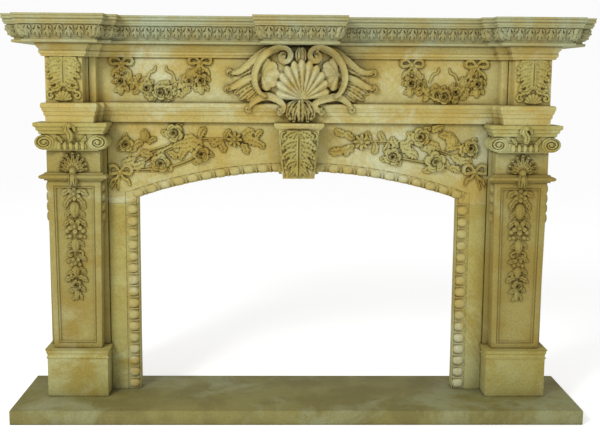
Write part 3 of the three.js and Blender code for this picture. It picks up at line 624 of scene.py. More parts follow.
def on_side(x, facing):
    """Places a carving on a face that looks along X: u runs back from the front."""
    return lambda u, v, w: np.stack([np.full_like(u, x) + facing * w, u, v], 1)


print("the rim of a carving dips under its face by, mm:", -UNDER)

# %% [markdown]
# Ornaments that follow a line: stems, leaves and ribbons that swell and taper on their way. The
# formulas keep the marks of the chisel, such as the groove down a leaf and the raised rims of a
# ribbon.

# %% Ornaments along a line
LOBE_EDGE = 0.97


def smooth_path(points, steps=8):
    """A Catmull-Rom curve through points."""
    p = np.array([points[0], *points, points[-1]], float)
    made = []
    for i in range(1, len(p) - 2):
        a, b, c, d = p[i - 1 : i + 3]
        for t in np.linspace(0, 1, steps, endpoint=False):
            bend = (2 * a - 5 * b + 4 * c - d) * t**2
            made.append(0.5 * (2 * b + (c - a) * t + bend + (3 * b - a - 3 * c + d) * t**3))
    return np.array([*made, p[-2]])


def nearest(path, u, v):
    """Distance from a path, with its sign, and the share of the way along it."""
    best = np.full(u.shape, 1e9)
    share = np.zeros(u.shape)
    side = np.ones(u.shape)
    steps = np.linalg.norm(np.diff(path[:, :2], axis=0), axis=1)
    total, done = steps.sum(), 0.0
    for a, b, length in zip(path[:-1], path[1:], steps):
        if length < 1e-6:
            continue
        d = (b[:2] - a[:2]) / length
        t = np.clip((u - a[0]) * d[0] + (v - a[1]) * d[1], 0, length)
        ex, ey = u - a[0] - t * d[0], v - a[1] - t * d[1]
        far = np.hypot(ex, ey)
        closer = far < best
        best = np.where(closer, far, best)
        share = np.where(closer, (done + t) / total, share)
        side = np.where(closer, np.sign(d[0] * ey - d[1] * ex), side)
        done += length
    return best, share, side


def line_shape(carving, points, width, section, base=0.0, steps=8):
    """Adds a shape along a line: width and section are functions of the way along it."""
    path = smooth_path(points, steps) if len(points) > 2 else np.array(points, float)
    reach = max(width(s) for s in np.linspace(0, 1, 9)) * 1.3 + 3
    low, high = path[:, :2].min(0) - reach, path[:, :2].max(0) + reach

    def shape(u, v):
        far, share, side = nearest(path, u, v)
        wide = np.maximum(width(share), 0.4)
        return section(far / wide, share, side * far)

    carving.add((low[0], low[1], high[0], high[1]), shape, base)


def cord(carving, points, radius, base=0.0):
    """A round stem."""

    def wide(s):
        return radius + 0 * s

    def section(d, s, x):
        return radius * 1.5 * (1 - d**2) - 0.4

    line_shape(carving, points, wide, section, base, steps=5)


def frond(carving, points, width, height, base=0.0, veins=0.0, rise=0.5, teeth=0):
    """A leaf or lobe: swelling and then pointed, ridged along its middle, with a cut vein."""

    def wide(s):
        swell = width * (np.clip(s, 0, 1) ** 0.55) * (np.clip(1 - s, 0, 1) ** 0.45) * 1.7
        return swell * (1 - 0.3 * np.abs(np.sin(math.pi * teeth * s)) ** 3)

    def section(d, s, x):
        body = height * (0.55 + 0.45 * np.sin(math.pi * np.clip(s * (1 - rise) + rise * 0.6, 0, 1)))
        groove = 0.4 * height * np.exp(-((x / (0.1 * width + 0.9)) ** 2))
        ribs = veins * height * 0.15 * np.cos(2 * math.pi * (s * 5.0 - np.abs(x) / width * 0.9))
        return np.where(d > LOBE_EDGE, NOTHING, body * (1 - 0.5 * d**2) - groove + ribs)

    line_shape(carving, points, wide, section, base)


def ribbon(carving, points, width, height, base=0.0, ends=0.75, channel=0.4):
    """A band with raised edges and a hollow middle."""

    def wide(s):
        return width * (ends + (1 - ends) * np.sin(math.pi * np.clip(s, 0, 1)))

    def section(d, s, x):
        fall = 2.0 * height * np.maximum(d - 0.8, 0)
        return np.where(d > LOBE_EDGE, NOTHING, height * (1 - channel * (1 - d**2)) - fall)

    line_shape(carving, points, wide, section, base)


trial = Carving(-10, 70, -20, 20)
frond(trial, [(0, 0), (30, 8), (60, 0)], 10, 12)
print("a leaf cut 12 high stands out, mm:", trial.stands())

# %% [markdown]
# Round ornaments: berries, roses, daisies and buds. A rose is a ball with three rings of petals
# round its heart. Each petal falls from a scalloped rim to a hollow and leans to one side, so
# that it laps over the next.

# %% Round ornaments


def dome(carving, x, y, radius, height, base=0.0, stretch=1.0, angle=0.0):
    """A berry, a boss or an egg."""
    c, s = math.cos(math.radians(angle)), math.sin(math.radians(angle))

    def shape(u, v):
        a, b = (u - x) * c + (v - y) * s, -(u - x) * s + (v - y) * c
        q = (a / (radius * stretch)) ** 2 + (b / radius) ** 2
        return height * np.sqrt(np.clip(1 - q, 0, 1)) - np.clip(q - 1, 0, 9) * height * 2

    r = radius * max(stretch, 1) * 1.3
    carving.add((x - r, y - r, x + r, y + r), shape, base)


def petals(carving, x, y, radius, height, count, angle, base=0.0, floor=0.3, notch=0.2, lean=0.3):
    """A ring of cupped petals: low at the heart and high at the scalloped rim, each one lapping
    over the next."""

    def shape(u, v):
        reach = np.hypot(u - x, v - y)
        turned = (np.degrees(np.arctan2(v - y, u - x)) - angle) * count / 360
        part = turned - np.floor(turned) - 0.5
        rim = radius * (1 - notch * np.abs(2 * part) ** 2.2)
        t = reach / rim
        cup = floor + (1 - floor) * np.clip(t, 0, 1) ** 2
        ridge = 1 - 0.3 * np.abs(2 * part) ** 4 + lean * part
        rounded = 1 - 0.35 * np.clip(t - 0.82, 0, 1) / 0.18
        return np.where(t < 1, height * cup * ridge * rounded, NOTHING)

    r = radius * 1.1
    carving.add((x - r, y - r, x + r, y + r), shape, base)


def rose(carving, x, y, radius, height=20.0, angle=0.0, base=0.0):
    """A full-blown rose: a ball of petals, each ring of them smaller and further up the ball."""

    def ball(u, v):
        d = np.hypot(u - x, v - y) / radius
        return base + height * (0.42 * np.sqrt(np.clip(1 - d**2, 0, 1)) - 0.3 * np.exp(-((d / 0.16) ** 2)))

    a = math.radians(angle * 3)
    dx, dy = radius * 0.07 * math.cos(a), radius * 0.07 * math.sin(a)
    for size, shift, lift, count, turned, floor, notch, lean in (
        (1.0, 0, 0.6, 5, 0, 0.1, 0.24, 0.35),
        (0.7, 1, 0.85, 4, 40, 0.0, 0.2, 0.45),
        (0.42, -1, 1.05, 3, 75, 0.0, 0.2, 0.55),
    ):
        heart = (x + shift * dx, y + shift * dy)
        petals(carving, *heart, radius * size, height * lift, count, angle + turned, ball, floor, notch, lean)


def daisy(carving, x, y, radius, height=12.0, count=7, angle=0.0, base=0.0):
    """An open flower with separate petals and a button."""
    petals(carving, x, y, radius, height * 0.8, count, angle, base, floor=0.35, notch=0.5, lean=0.15)
    dome(carving, x, y, radius * 0.32, height * 1.25, base)


def bud(carving, x, y, length, radius, height, angle, base=0.0):
    """A closed bud or a fruit, with grooves between its folds."""
    c, s = math.cos(math.radians(angle)), math.sin(math.radians(angle))

    def shape(u, v):
        a, b = (u - x) * c + (v - y) * s, -(u - x) * s + (v - y) * c
        q = (a / (length / 2)) ** 2 + (b / (radius * (1 - 0.3 * a / length))) ** 2
        folds = 0.12 * height * np.cos(b / radius * 2.2 * math.pi)
        return (height + folds) * np.sqrt(np.clip(1 - q, 0, 1)) - np.clip(q - 1, 0, 9) * height * 2

    r = max(length, radius * 2) * 0.75
    carving.add((x - r, y - r, x + r, y + r), shape, base)


trial = Carving(-40, 40, -40, 40)
rose(trial, 0, 0, 30)
print("a rose of radius 30 stands out, mm:", trial.stands())

# %% [markdown]
# The sprays and swags are dressed with veined leaves, scallop shells and tied ribbons. The shell
# is a fan of ribs whose rim waves with them. A bow is two looped ribbons, two tails and a knot.

# %% Leaves, shells and bows


def leaf(carving, x, y, angle, length=48.0, width=None, height=11.0, bend=0.14, base=0.0):
    """A veined leaf with a toothed edge that springs from a point."""
    a = math.radians(angle)
    along, across = np.array([math.cos(a), math.sin(a)]), np.array([-math.sin(a), math.cos(a)])
    start = np.array([x, y])
    middle = start + along * length * 0.5 + across * length * bend
    tip = start + along * length
    frond(carving, [start, middle, tip], width or length * 0.3, height, base, veins=0.45, teeth=3)


def shell(carving, x, y, radius, direction, spread, ribs, height, base=0.0, rise=0.55, squash=1.0):
    """A scallop: ribs that fan out from the hinge and end in a waved rim."""
    turn_ = math.radians(direction)

    def shape(u, v):
        a = (u - x) * math.cos(turn_) + (v - y) * math.sin(turn_)
        b = (-(u - x) * math.sin(turn_) + (v - y) * math.cos(turn_)) / squash
        r = np.hypot(a, b)
        phi = np.degrees(np.arctan2(b, a))
        share = phi / spread + 0.5
        rib = np.abs(np.sin(math.pi * ribs * np.clip(share, 0, 1)))
        rim = radius * (0.9 + 0.1 * rib) * (1 - 0.2 * (2 * share - 1) ** 2)
        t = r / rim
        crown = np.clip(t / rise, 0, 1) ** 0.7 * (1 - 0.25 * np.clip(t - rise, 0, 1))
        body = height * crown * (0.66 + 0.34 * rib) + 1.0
        edge = np.maximum(t - 0.94, 0) * height * 14
        out = np.maximum(np.abs(share - 0.5) - 0.5, 0) * height * 40
        return body - edge - out

    r = radius * 1.15 * max(1, squash)
    carving.add((x - r, y - r, x + r, y + r), shape, base)


def bow(carving, x, y, size, base=0.0, height=10.0, flat=0.62):
    """A tied ribbon: two loops, two tails and the knot."""
    for side in (-1, 1):
        loop = [(x, y), (x + side * size * 0.5, y + size * flat)]
        loop += [(x + side * size * 1.05, y + size * flat * 0.7)]
        loop += [(x + side * size * 0.95, y - size * flat * 0.25), (x, y)]
        ribbon(carving, loop, size * 0.19, height, base)
        tail = [(x, y), (x + side * size * 0.3, y - size * 0.55), (x + side * size * 0.75, y - size * 0.8)]
        tail += [(x + side * size * 0.9, y - size * 1.25)]
        ribbon(carving, tail, size * 0.17, height * 0.8, base)
    dome(carving, x, y, size * 0.24, height * 1.3, base)


trial = Carving(-80, 80, -10, 80)
shell(trial, 0, 0, 60, 90, 170, 9, 20)
print("a shell cut 20 high stands out, mm:", trial.stands())

# %% [markdown]
# Acanthus and scrolls are the classical part of the work. A lobe ends in a small knob where its
# tip rolls up. A volute is a ribbon wound on a shrinking radius, with a round eye.

# %% Acanthus and volutes


def curled(carving, points, width, height, eye, base=0.0, veins=0.6):
    """A lobe whose tip rolls up into a small knob."""
    frond(carving, points, width, height, base, veins=veins, teeth=2)
    dome(carving, *points[-1], eye, height * 1.25, base)


def acanthus(carving, x, y, length, width, direction, pairs, height, base=0.0):
    """A broad cut leaf: deep lobes leave a midrib in pairs, and their tips curl over."""
    a = math.radians(direction)
    along, across = np.array([math.cos(a), math.sin(a)]), np.array([-math.sin(a), math.cos(a)])
    start = np.array([x, y])
    for i in reversed(range(pairs)):
        root = start + along * length * (i / (pairs + 0.2))
        wide = width * (0.62 + 0.38 * math.sin((i + 1) / (pairs + 0.8) * math.pi)) / 2
        lift = height * (0.2 if i % 2 else 0.0)
        for side in (-1, 1):
            middle = root + along * length * 0.05 + across * side * wide * 0.55
            tip = root + along * length * 0.17 + across * side * wide * 0.9
            curled(carving, [root, middle, tip], wide * 0.36, height, wide * 0.14, base + lift)
            low = root + along * length * 0.15 + across * side * wide * 0.3
            end = root + along * length * 0.27 + across * side * wide * 0.5
            frond(carving, [root, low, end], wide * 0.26, height * 0.85, base)
    rib = [start, start + along * length * 0.5, start + along * length]
    frond(carving, rib, width * 0.11, height * 1.25, base)


def volute(carving, x, y, radius, side, turns, width, height, base=0.0, start=90.0, lead=(), stretch=1.0):
    """A ribbon that winds in to an eye, after an optional run of lead points."""
    steps = 22
    coil = []
    for i in range(steps):
        a = math.radians(start) + side * 2 * math.pi * turns * i / (steps - 1)
        r = radius * (1 - 0.72 * i / (steps - 1))
        coil.append((x + r * math.cos(a) * stretch, y + r * math.sin(a)))
    ribbon(carving, [*lead, *coil], width, height, base, ends=0.6, channel=0.35)
    dome(carving, x, y, radius * 0.34, height * 1.3, base)


trial = Carving(-40, 40, -40, 40)
volute(trial, 0, 0, 30, 1, 1.5, 6, 10)
print("a volute cut 10 high stands out, mm:", trial.stands())

# %% [markdown]
# Egg moulding and the leaf band of the shelf repeat one small carved shape along a path. That
# is a job for Geometry Nodes: the tree sets the shape at an even pitch on the path, turns it to
# follow, makes it real and gives it the stone.

# %% A shape repeated along a path


def repeat_tree(name, turning):
    tree = bpy.data.node_groups.new(name, "GeometryNodeTree")
    new_socket(tree, "Path", "NodeSocketGeometry")
    new_socket(tree, "Shape", "NodeSocketObject")
    new_socket(tree, "Pitch", "NodeSocketFloat", 0.05)
    new_socket(tree, "Stone", "NodeSocketMaterial")
    new_socket(tree, "Variation", "NodeSocketFloat", 0.05)
    new_socket(tree, "Seed", "NodeSocketInt", 7)
    new_socket(tree, "Carving", "NodeSocketGeometry", out=True)
    add, link = tree.nodes.new, tree.links.new
    given, result = add("NodeGroupInput"), add("NodeGroupOutput")
    curve, resample = add("GeometryNodeMeshToCurve"), add("GeometryNodeResampleCurve")
    resample.mode = "LENGTH"
    tangent = add("GeometryNodeInputTangent")
    facing = add("FunctionNodeAlignRotationToVector")
    facing.axis = "X"
    facing.pivot_axis = turning
    shape, place = add("GeometryNodeObjectInfo"), add("GeometryNodeInstanceOnPoints")
    real, coat = add("GeometryNodeRealizeInstances"), add("GeometryNodeSetMaterial")
    least, most, size = add("ShaderNodeMath"), add("ShaderNodeMath"), add("FunctionNodeRandomValue")
    least.operation, most.operation = "SUBTRACT", "ADD"
    for bound, socket in ((least, "Min"), (most, "Max")):
        bound.inputs[0].default_value = 1.0
        link(given.outputs["Variation"], bound.inputs[1])
        link(bound.outputs[0], next(i for i in size.inputs if i.name == socket and i.type == "VALUE"))
    link(given.outputs["Seed"], size.inputs["Seed"])
    link(next(o for o in size.outputs if o.type == "VALUE"), place.inputs["Scale"])
    link(given.outputs["Path"], curve.inputs["Mesh"])
    link(curve.outputs["Curve"], resample.inputs["Curve"])
    link(given.outputs["Pitch"], resample.inputs["Length"])
    link(resample.outputs["Curve"], place.inputs["Points"])
    link(given.outputs["Shape"], shape.inputs["Object"])
    link(shape.outputs["Geometry"], place.inputs["Instance"])
    link(tangent.outputs["Tangent"], facing.inputs["Vector"])
    link(facing.outputs["Rotation"], place.inputs["Rotation"])
    link(place.outputs["Instances"], real.inputs["Geometry"])
    link(real.outputs["Geometry"], coat.inputs["Geometry"])
    link(given.outputs["Stone"], coat.inputs["Material"])
    link(coat.outputs["Geometry"], result.inputs["Carving"])
    return tree


along_face = repeat_tree("eggs along a face", "Y")
along_shelf = repeat_tree("leaves round a shelf", "Z")
SNUG = 0.9999


def repeated(name, tree, shape, runs, pitch, material, seed=1):
    """A shape repeated along runs of points, as a plain mesh object."""
    points, edges = [], []
    for run in runs:
        start = len(points)
        points += [tuple(c * MM for c in p) for p in run]
        edges += [(start + i, start + i + 1) for i in range(len(run) - 1)]
    mesh = bpy.data.meshes.new(name)
    mesh.from_pydata(points, edges, [])
    made = bpy.data.objects.new(name, mesh)
    bpy.context.scene.collection.objects.link(made)
    live = made.modifiers.new("repeat", "NODES")
    live.node_group = tree
    for item in tree.interface.items_tree:
        value = {"Shape": shape, "Pitch": pitch * MM, "Stone": material, "Seed": seed}.get(item.name)
        if item.in_out == "INPUT" and value is not None:
            live[item.identifier] = value
    return baked(made)


print("repeating trees:", along_face.name, "and", along_shelf.name)

# %% [markdown]
# Two eggs are enough for the whole opening, one for the jambs and a longer one for the arch. Each
# is a barrel that fills the band, with the thin disc that parts it from the next egg.

# %% One egg with its disc


def egg_shape(name, long, wide, high):
    """A barrel of an egg that fills the band, and the thin disc that parts it from the next."""
    small = Carving(-long / 2 + 1, long / 2 + 4, -wide / 2 - 2, wide / 2 + 2, cell=2.4)

    def barrel(u, v):
        q = np.abs(u / (long * 0.4)) ** 2.6 + np.abs(v / (wide * 0.5)) ** 2.3
        return high * np.clip(1 - q, 0, 1) ** 0.45 - np.clip(q - 1, 0, 9) * high * 2

    def disc(u, v):
        q = ((u - long / 2) / 2.6) ** 4 + (v / (wide * 0.46)) ** 4
        return high * 0.72 - np.clip(q - 1, 0, 9) * high

    small.add((-long, -wide, long, wide), barrel)
    small.add((-long, -wide, long, wide), disc)
    skin = small.skin(on_front(0))
    made = stone_object(name, skin, honey_stone, bevel=0)
    made.data.shade_smooth()
    return made


jamb_egg = egg_shape("jamb_egg", JAMB_EGG_PITCH, JAMB_EGG_BAND * 0.9, EGG_SINK + 1)
arch_egg = egg_shape("arch_egg", ARCH_EGG_PITCH, ARCH_EGG_BAND * 0.98, EGG_SINK + 1)
print("egg faces:", len(jamb_egg.data.polygons), len(arch_egg.data.polygons))

# %% [markdown]
# The hearth is one plain slab, sawn and rubbed. Only its arrises are worn.

# %% Hearth slab
slab = moulded(block_plan(HEARTH_WIDTH / 2, 0), [(0, 0), (HEARTH_THICK, 0)])
merged("hearth_slab_stone", cut_stones([slab], hearth_stone, bevel=3.5))

# %% [markdown]
# Plinth, shaft and capital make a pilaster. The plinth is a square block under a torus and a
# hollow that lead in to the shaft. Left and right are the same skins on two axes.

# %% Plinths
SIDES = ((-1, "left"), (1, "right"))


def plinth_skin():
    top = PLINTH_Z + PLINTH_BLOCK
    foot = (SHAFT_FACE - PLINTH_FACE) * 0.6
    profile = [(PLINTH_Z, 0), (top - 3, 0), (top - 1, -3.5), (top + 1, -3.5)]
    profile += torus(top + 2, top + 16, -3, 3)
    profile += [(top + 17, -3)] + cavetto(top + 18, -3, top + PLINTH_CAP, -foot)
    return moulded(block_plan(PLINTH_WIDTH / 2, PLINTH_FACE), profile)


def both_sides(name, skins, material=ochre_stone, bevel=WORN_ARRIS, fine=None):
    """A left and a right stone from skins round the pilaster's axis."""
    for side, label in SIDES:
        parts = cut_stones([moved(skin, side * PILASTER_X) for skin in skins], material, bevel)
        if fine:
            parts.append(stone_object("fine", moved(joined(*fine), side * PILASTER_X), material, 0))
        merged(f"{label}_{name}_stone", parts)


both_sides("plinth", [plinth_skin()], bevel=2.5)

# %% [markdown]
# The shaft tapers to its foot and draws back there a little. Its face is sunk in a moulded frame,
# made by lofting inwards: each ring of it is smaller than the last and lies at its own depth.
# The front stone stops just short of the back, so that no two faces share a plane.

# %% Shafts
SHAFT_BACK = BACK - 1
PANEL_LOW, PANEL_HIGH = SHAFT_Z + PANEL_MARGIN, ASTRAGAL_Z - PANEL_MARGIN
PANEL_FRAME = [(9, 0), (8, 2.5), (6, 3), (4.5, -1), (2.5, -1.6), (1, 1.5), (0, PANEL_SINK)]


def shaft_skins():
    """The front stone with its sunk panel, the backing, the neck and the astragal."""
    head_half, foot_half = SHAFT_HEAD_WIDTH / 2, SHAFT_FOOT_WIDTH / 2
    half = foot_half - PANEL_MARGIN
    lean = SHAFT_LEAN / SHAFT_HEIGHT

    def ring(half_low, half_high, z0, z1, sink):
        corners = [(-half_low, z0), (half_low, z0), (half_high, z1), (-half_high, z1)]
        return [(x, face(SHAFT_FACE) + (ASTRAGAL_Z - z) * lean + sink, z) for x, z in corners]

    outline = ring(foot_half, head_half, SHAFT_Z, ASTRAGAL_Z, 0)
    rings = [[(x, SHAFT_BACK, z) for x, _, z in outline], outline]
    for grow, sink in PANEL_FRAME:
        rings.append(ring(half + grow, half + 4 + grow, PANEL_LOW - grow, PANEL_HIGH + grow, sink))
    neck_top = NECK_Z + NECK_HEIGHT
    backing = moulded(block_plan(BACKING_WIDTH / 2, BACKING_FACE), [(SHAFT_Z, 0), (neck_top, 0)])
    neck_plan = block_plan(head_half, SHAFT_FACE, SHAFT_BACK)
    neck = moulded(neck_plan, [(ASTRAGAL_Z - 1, 0), (neck_top, 0)])
    out = (ASTRAGAL_WIDTH - SHAFT_HEAD_WIDTH) / 2
    bar = [(ASTRAGAL_Z, 1), (ASTRAGAL_Z + 1, out * 0.35), (ASTRAGAL_Z + 5, out * 0.35)]
    bar += torus(ASTRAGAL_Z + 6, NECK_Z - 6, out * 0.4, out * 0.6)
    bar += [(NECK_Z - 5, out * 0.35), (NECK_Z - 1, out * 0.35), (NECK_Z, 1)]
    plan = block_plan(head_half, SHAFT_FACE, face(SHAFT_FACE + ASTRAGAL_RETURN))
    astragal = loft([side_grown(plan, o, z) for z, o in bar])
    return [loft(rings), backing, neck, astragal]


print("height of the sunk panel, mm:", PANEL_HIGH - PANEL_LOW)

# %% [markdown]
# A string of flowers hangs down the sunk panel, a scallop stands on the neck, and bellflowers
# fall down the flanks. Levels on the string are shares of the panel's height.

# %% Flowers of the shafts


def shaft_carving():
    """The hanging string: sprays, fruit, buds and open flowers on a thin stem."""
    c = Carving(-56, 56, PANEL_LOW + 60, PANEL_HIGH + 16, cell=1.7)

    def level(share):
        return PANEL_LOW + share * (PANEL_HIGH - PANEL_LOW)

    cord(c, [(0, level(0.98)), (0, level(0.27))], 3.2)
    for side in (-1, 1):
        leaf(c, 0, level(0.99), -90 + side * 66, 50, 15, 11, bend=side * 0.12)
        leaf(c, 0, level(0.955), -90 + side * 36, 60, 13, 12, bend=side * 0.12)
        leaf(c, side * 3, level(0.86), -90 + side * 50, 40, 11, 10, bend=side * 0.12)
        leaf(c, 0, level(0.80), -90 + side * 56, 46, 12, 11, bend=side * 0.12)
        dome(c, side * 27, level(0.725), 10, 14)
        dome(c, side * 18, level(0.69), 9, 14)
        dome(c, side * 31, level(0.685), 7.5, 11)
        leaf(c, 0, level(0.66), -90 + side * 55, 36, 10, 9)
        volute(c, side * 16, level(0.572), 11, -side, 0.8, 4.5, 9, start=90, lead=[(0, level(0.6))])
        leaf(c, 0, level(0.555), -90 + side * 68, 40, 11, 10)
        leaf(c, 0, level(0.49), -90 + side * 52, 42, 10, 10)
        leaf(c, 0, level(0.43), -90 + side * 62, 44, 12, 11, bend=side * 0.1)
        leaf(c, 0, level(0.37), -90 + side * 50, 38, 11, 10)
        leaf(c, 0, level(0.33), -90 + side * 28, 38, 8, 8)
    daisy(c, 0, level(0.965), 25, 17, 6, base=3)
    bud(c, 0, level(0.86), 58, 17, 20, -90, base=2)
    daisy(c, 0, level(0.755), 26, 18, 5, 90, base=4)
    bud(c, 0, level(0.63), 52, 14, 18, -90, base=2)
    daisy(c, 0, level(0.515), 21, 17, 5, 90, base=3)
    bud(c, 0, level(0.462), 44, 12, 16, -90, base=2)
    rose(c, 0, level(0.372), 19, 17, base=3)
    bud(c, 0, level(0.31), 48, 9, 11, -90)
    return c.skin(on_front(face(SHAFT_FACE + SHAFT_LEAN / 2) + PANEL_SINK))


def neck_carving():
    """A scallop on the necking, with a knob that laps over the astragal."""
    c = Carving(-70, 70, NECK_Z + 1, NECK_Z + NECK_HEIGHT - 2, cell=1.7)
    foot = NECK_Z + 8
    for i in range(9):
        a = math.radians(90 + (i - 4) * 21)
        reach = 58 - 3 * abs(i - 4)
        tip = (reach * math.cos(a), foot + reach * math.sin(a))
        middle = (reach * 0.55 * math.cos(a), foot + reach * 0.55 * math.sin(a))
        curled(c, [(0, foot), middle, tip], 10.5, 13, 5.5, base=2)
    shell(c, 0, foot, 30, 90, 170, 7, 11, base=6)
    skins = [c.skin(on_front(face(SHAFT_FACE)))]
    k = Carving(-34, 34, ASTRAGAL_Z - 22, NECK_Z + 22, cell=1.7)
    dome(k, 0, ASTRAGAL_Z + 12, 19, 17, stretch=0.85)
    dome(k, 0, NECK_Z + 8, 12, 16)
    for side in (-1, 0, 1):
        frond(k, [(side * 5, NECK_Z + 6), (side * 9, ASTRAGAL_Z + 8), (side * 7, ASTRAGAL_Z - 18)], 7, 20)
    skins.append(k.skin(on_front(face(SHAFT_FACE) - 14)))
    return skins


def side_husks(side):
    """Small bellflowers that hang down the flank of the shaft."""
    c = Carving(face(SHAFT_FACE) + 8, face(BACKING_FACE) - 2, ASTRAGAL_Z - 150, ASTRAGAL_Z, cell=2.0)
    middle = face((SHAFT_FACE + BACKING_FACE) / 2)
    for i in range(4):
        z = ASTRAGAL_Z - 6 - 34 * i
        for lean in (-1, 0, 1):
            frond(c, [(middle, z), (middle + lean * 9, z - 14), (middle + lean * 8, z - 32)], 6, 7)
    return c.skin(on_side(side * (SHAFT_HEAD_WIDTH + SHAFT_FOOT_WIDTH + 22) / 4, side))


shaft_fine = [shaft_carving(), *neck_carving(), side_husks(1), side_husks(-1)]
both_sides("shaft", shaft_skins(), shaft_stone, fine=shaft_fine)

# %% [markdown]
# The capital is Ionic in outline: two rolled volutes under a moulded abacus, with eggs between
# them and a leaf that hangs over the middle.

# %% Capitals
CAPITAL_TOP = CAPITAL_Z + CAPITAL_HEIGHT
ABACUS_Z = CAPITAL_TOP - ABACUS_HEIGHT
ABACUS_REACH = (ABACUS_WIDTH - SHAFT_HEAD_WIDTH) / 2
ROLL_HALF = (BOLSTER_SPREAD + VOLUTE_RADIUS - VOLUTE_SPREAD + VOLUTE_RADIUS) / 2
ROLL_X, ROLL_Z = VOLUTE_SPREAD - VOLUTE_RADIUS + ROLL_HALF, ABACUS_Z - VOLUTE_RADIUS
ROLL_STRETCH = ROLL_HALF / VOLUTE_RADIUS
ROLL_FRONT = face(CAPITAL_FACE + ABACUS_REACH - 14)


def turned_roll(x, z, y0, y1, radius, waist, stretch=1.0, sides=28, steps=12):
    """A bolster with a narrow waist, turned on an axis that runs front to back."""
    turns = [2 * math.pi * k / sides for k in range(sides)]
    rings = []
    for i in range(steps + 1):
        s = i / steps
        y = y0 + (y1 - y0) * s
        r = radius - (radius - waist) * math.sin(math.pi * min(1, max(0, (s - 0.12) / 0.76))) ** 0.8
        rings.append([(x + r * math.cos(a) * stretch, y, z + r * math.sin(a)) for a in turns])
    return loft(rings)


def capital_skins():
    """The body under its abacus, the backing and the two rolls."""
    profile = [(CAPITAL_Z, -6), (CAPITAL_Z + 5, -1)] + ovolo(CAPITAL_Z + 7, 1, CAPITAL_Z + 28, 11)
    profile += [(ABACUS_Z - 12, 9), (ABACUS_Z, 10)]
    for low, high, short in ((1, 9, 15), (13, 21, 8), (26, ABACUS_HEIGHT, 0)):
        out = ABACUS_REACH - short
        profile += [(ABACUS_Z + low, out - 5), (ABACUS_Z + low + 2, out), (ABACUS_Z + high, out)]
    plan = block_plan(SHAFT_HEAD_WIDTH / 2, CAPITAL_FACE + ABACUS_REACH, face(SLIP_FACE) - JOINT)
    body = loft([side_grown(plan, out, z) for z, out in profile])
    backing = moulded(block_plan(BACKING_WIDTH / 2, BACKING_FACE), [(CAPITAL_Z, 0), (CAPITAL_TOP, 0)])
    rear, radius, waist = face(BACKING_FACE), VOLUTE_RADIUS - 0.5, VOLUTE_RADIUS * 0.78
    rolls = []
    for side in (-1, 1):
        rolls.append(turned_roll(side * ROLL_X, ROLL_Z, ROLL_FRONT, rear, radius, waist, ROLL_STRETCH))
    return [body, backing, *rolls]


def capital_carving():
    """The wound fronts of the rolls, the eggs and beads between them, and the hanging leaf."""
    c = Carving(-126, 126, CAPITAL_Z - 2, ABACUS_Z, cell=1.5)
    for side in (-1, 1):
        x = side * ROLL_X
        volute(c, x, ROLL_Z, VOLUTE_RADIUS - 3.5, -side, 2.1, 3.8, 7, stretch=ROLL_STRETCH * 1.02)
        dome(c, x, ROLL_Z, 6, 10)
        leaf(c, side * 50, ABACUS_Z - 3, -90 - side * 38, 34, 8, 9)
    for i in range(-2, 3):
        dome(c, i * 19.5, CAPITAL_Z + 18, 8, 10, stretch=1.8, angle=90)
        dome(c, i * 19.5 + 9.7, CAPITAL_Z + 15, 2.6, 6, stretch=3.4, angle=90)
    for i in range(-9, 10):
        dome(c, i * 5.6, CAPITAL_Z + 38, 2.7, 5)
    top = CAPITAL_TOP
    f = Carving(-30, 30, ABACUS_Z - 24, top - 1, cell=1.6)
    frond(f, [(-3, top - 3), (-8, top - 22), (2, top - 40), (-1, top - 62)], 12, 13)
    frond(f, [(2, top - 3), (13, top - 14), (17, top - 30)], 7, 9)
    frond(f, [(-5, top - 3), (-17, top - 16), (-18, top - 32)], 7, 9)
    dome(f, 0, top - 9, 9, 12, base=2)
    return [c.skin(on_front(ROLL_FRONT + 1)), f.skin(on_front(face(CAPITAL_FACE) + 3))]


both_sides("capital", capital_skins(), bevel=0.9, fine=capital_carving())

# %% [markdown]
# Slips and header frame the opening. Their inner edge is cut back in a quarter round, and the
# eggs lie along it. A slip is one section drawn straight up.

# %% Jamb slips
SLIP_FOOT, SLIP_HEAD = HEARTH_THICK + JOINT, HEADER_Z - JOINT
SLIP_SUNK = SLIP_FACE + EGG_SINK - 3


def quarter_steps(count=6):
    """Shares of the band's width and of the sink down a quarter round."""
    turns = [i / count * math.pi / 2 for i in range(count + 1)]
    return [(math.sin(a), 1 - math.cos(a)) for a in turns]


def slip_skin():
    band = OPENING_HALF + JAMB_EGG_BAND
    section = [(SLIP_OUTER, SLIP_FACE), (band, SLIP_FACE), (band, SLIP_FACE + 3)]
    for s, c in quarter_steps():
        section.append((OPENING_HALF + 4 + (JAMB_EGG_BAND - 6) * (1 - s), SLIP_FACE + 3 + (EGG_SINK - 3) * c))
    section += [(OPENING_HALF + 3, SLIP_SUNK), (OPENING_HALF, SLIP_SUNK)]
    section += [(OPENING_HALF, SLIP_FACE + SLIP_THICK), (SLIP_OUTER, SLIP_FACE + SLIP_THICK)]
    return loft([[(x, face(y), z) for x, y in section] for z in (SLIP_FOOT, SLIP_HEAD)])


def eggs_of_slip(side):
    count = round((SLIP_HEAD - SLIP_FOOT) / JAMB_EGG_PITCH)
    pitch = (SLIP_HEAD - SLIP_FOOT) / count
    x, y = side * (OPENING_HALF + JAMB_EGG_BAND * 0.52), face(SLIP_FACE + EGG_SINK) - 2
    run = [(x, y, SLIP_FOOT + pitch / 2), (x, y, SLIP_HEAD - pitch / 2)]
    return repeated("eggs", along_face, jamb_egg, [run], pitch * SNUG, honey_stone, seed=2 + side)


for side, label in SIDES:
    skin = slip_skin() if side > 0 else mirrored(slip_skin())
    block = baked(stone_object("slip", skin, ochre_stone, 1.2))
    merged(f"{label}_jamb_slip_stone", [block, eggs_of_slip(side)])

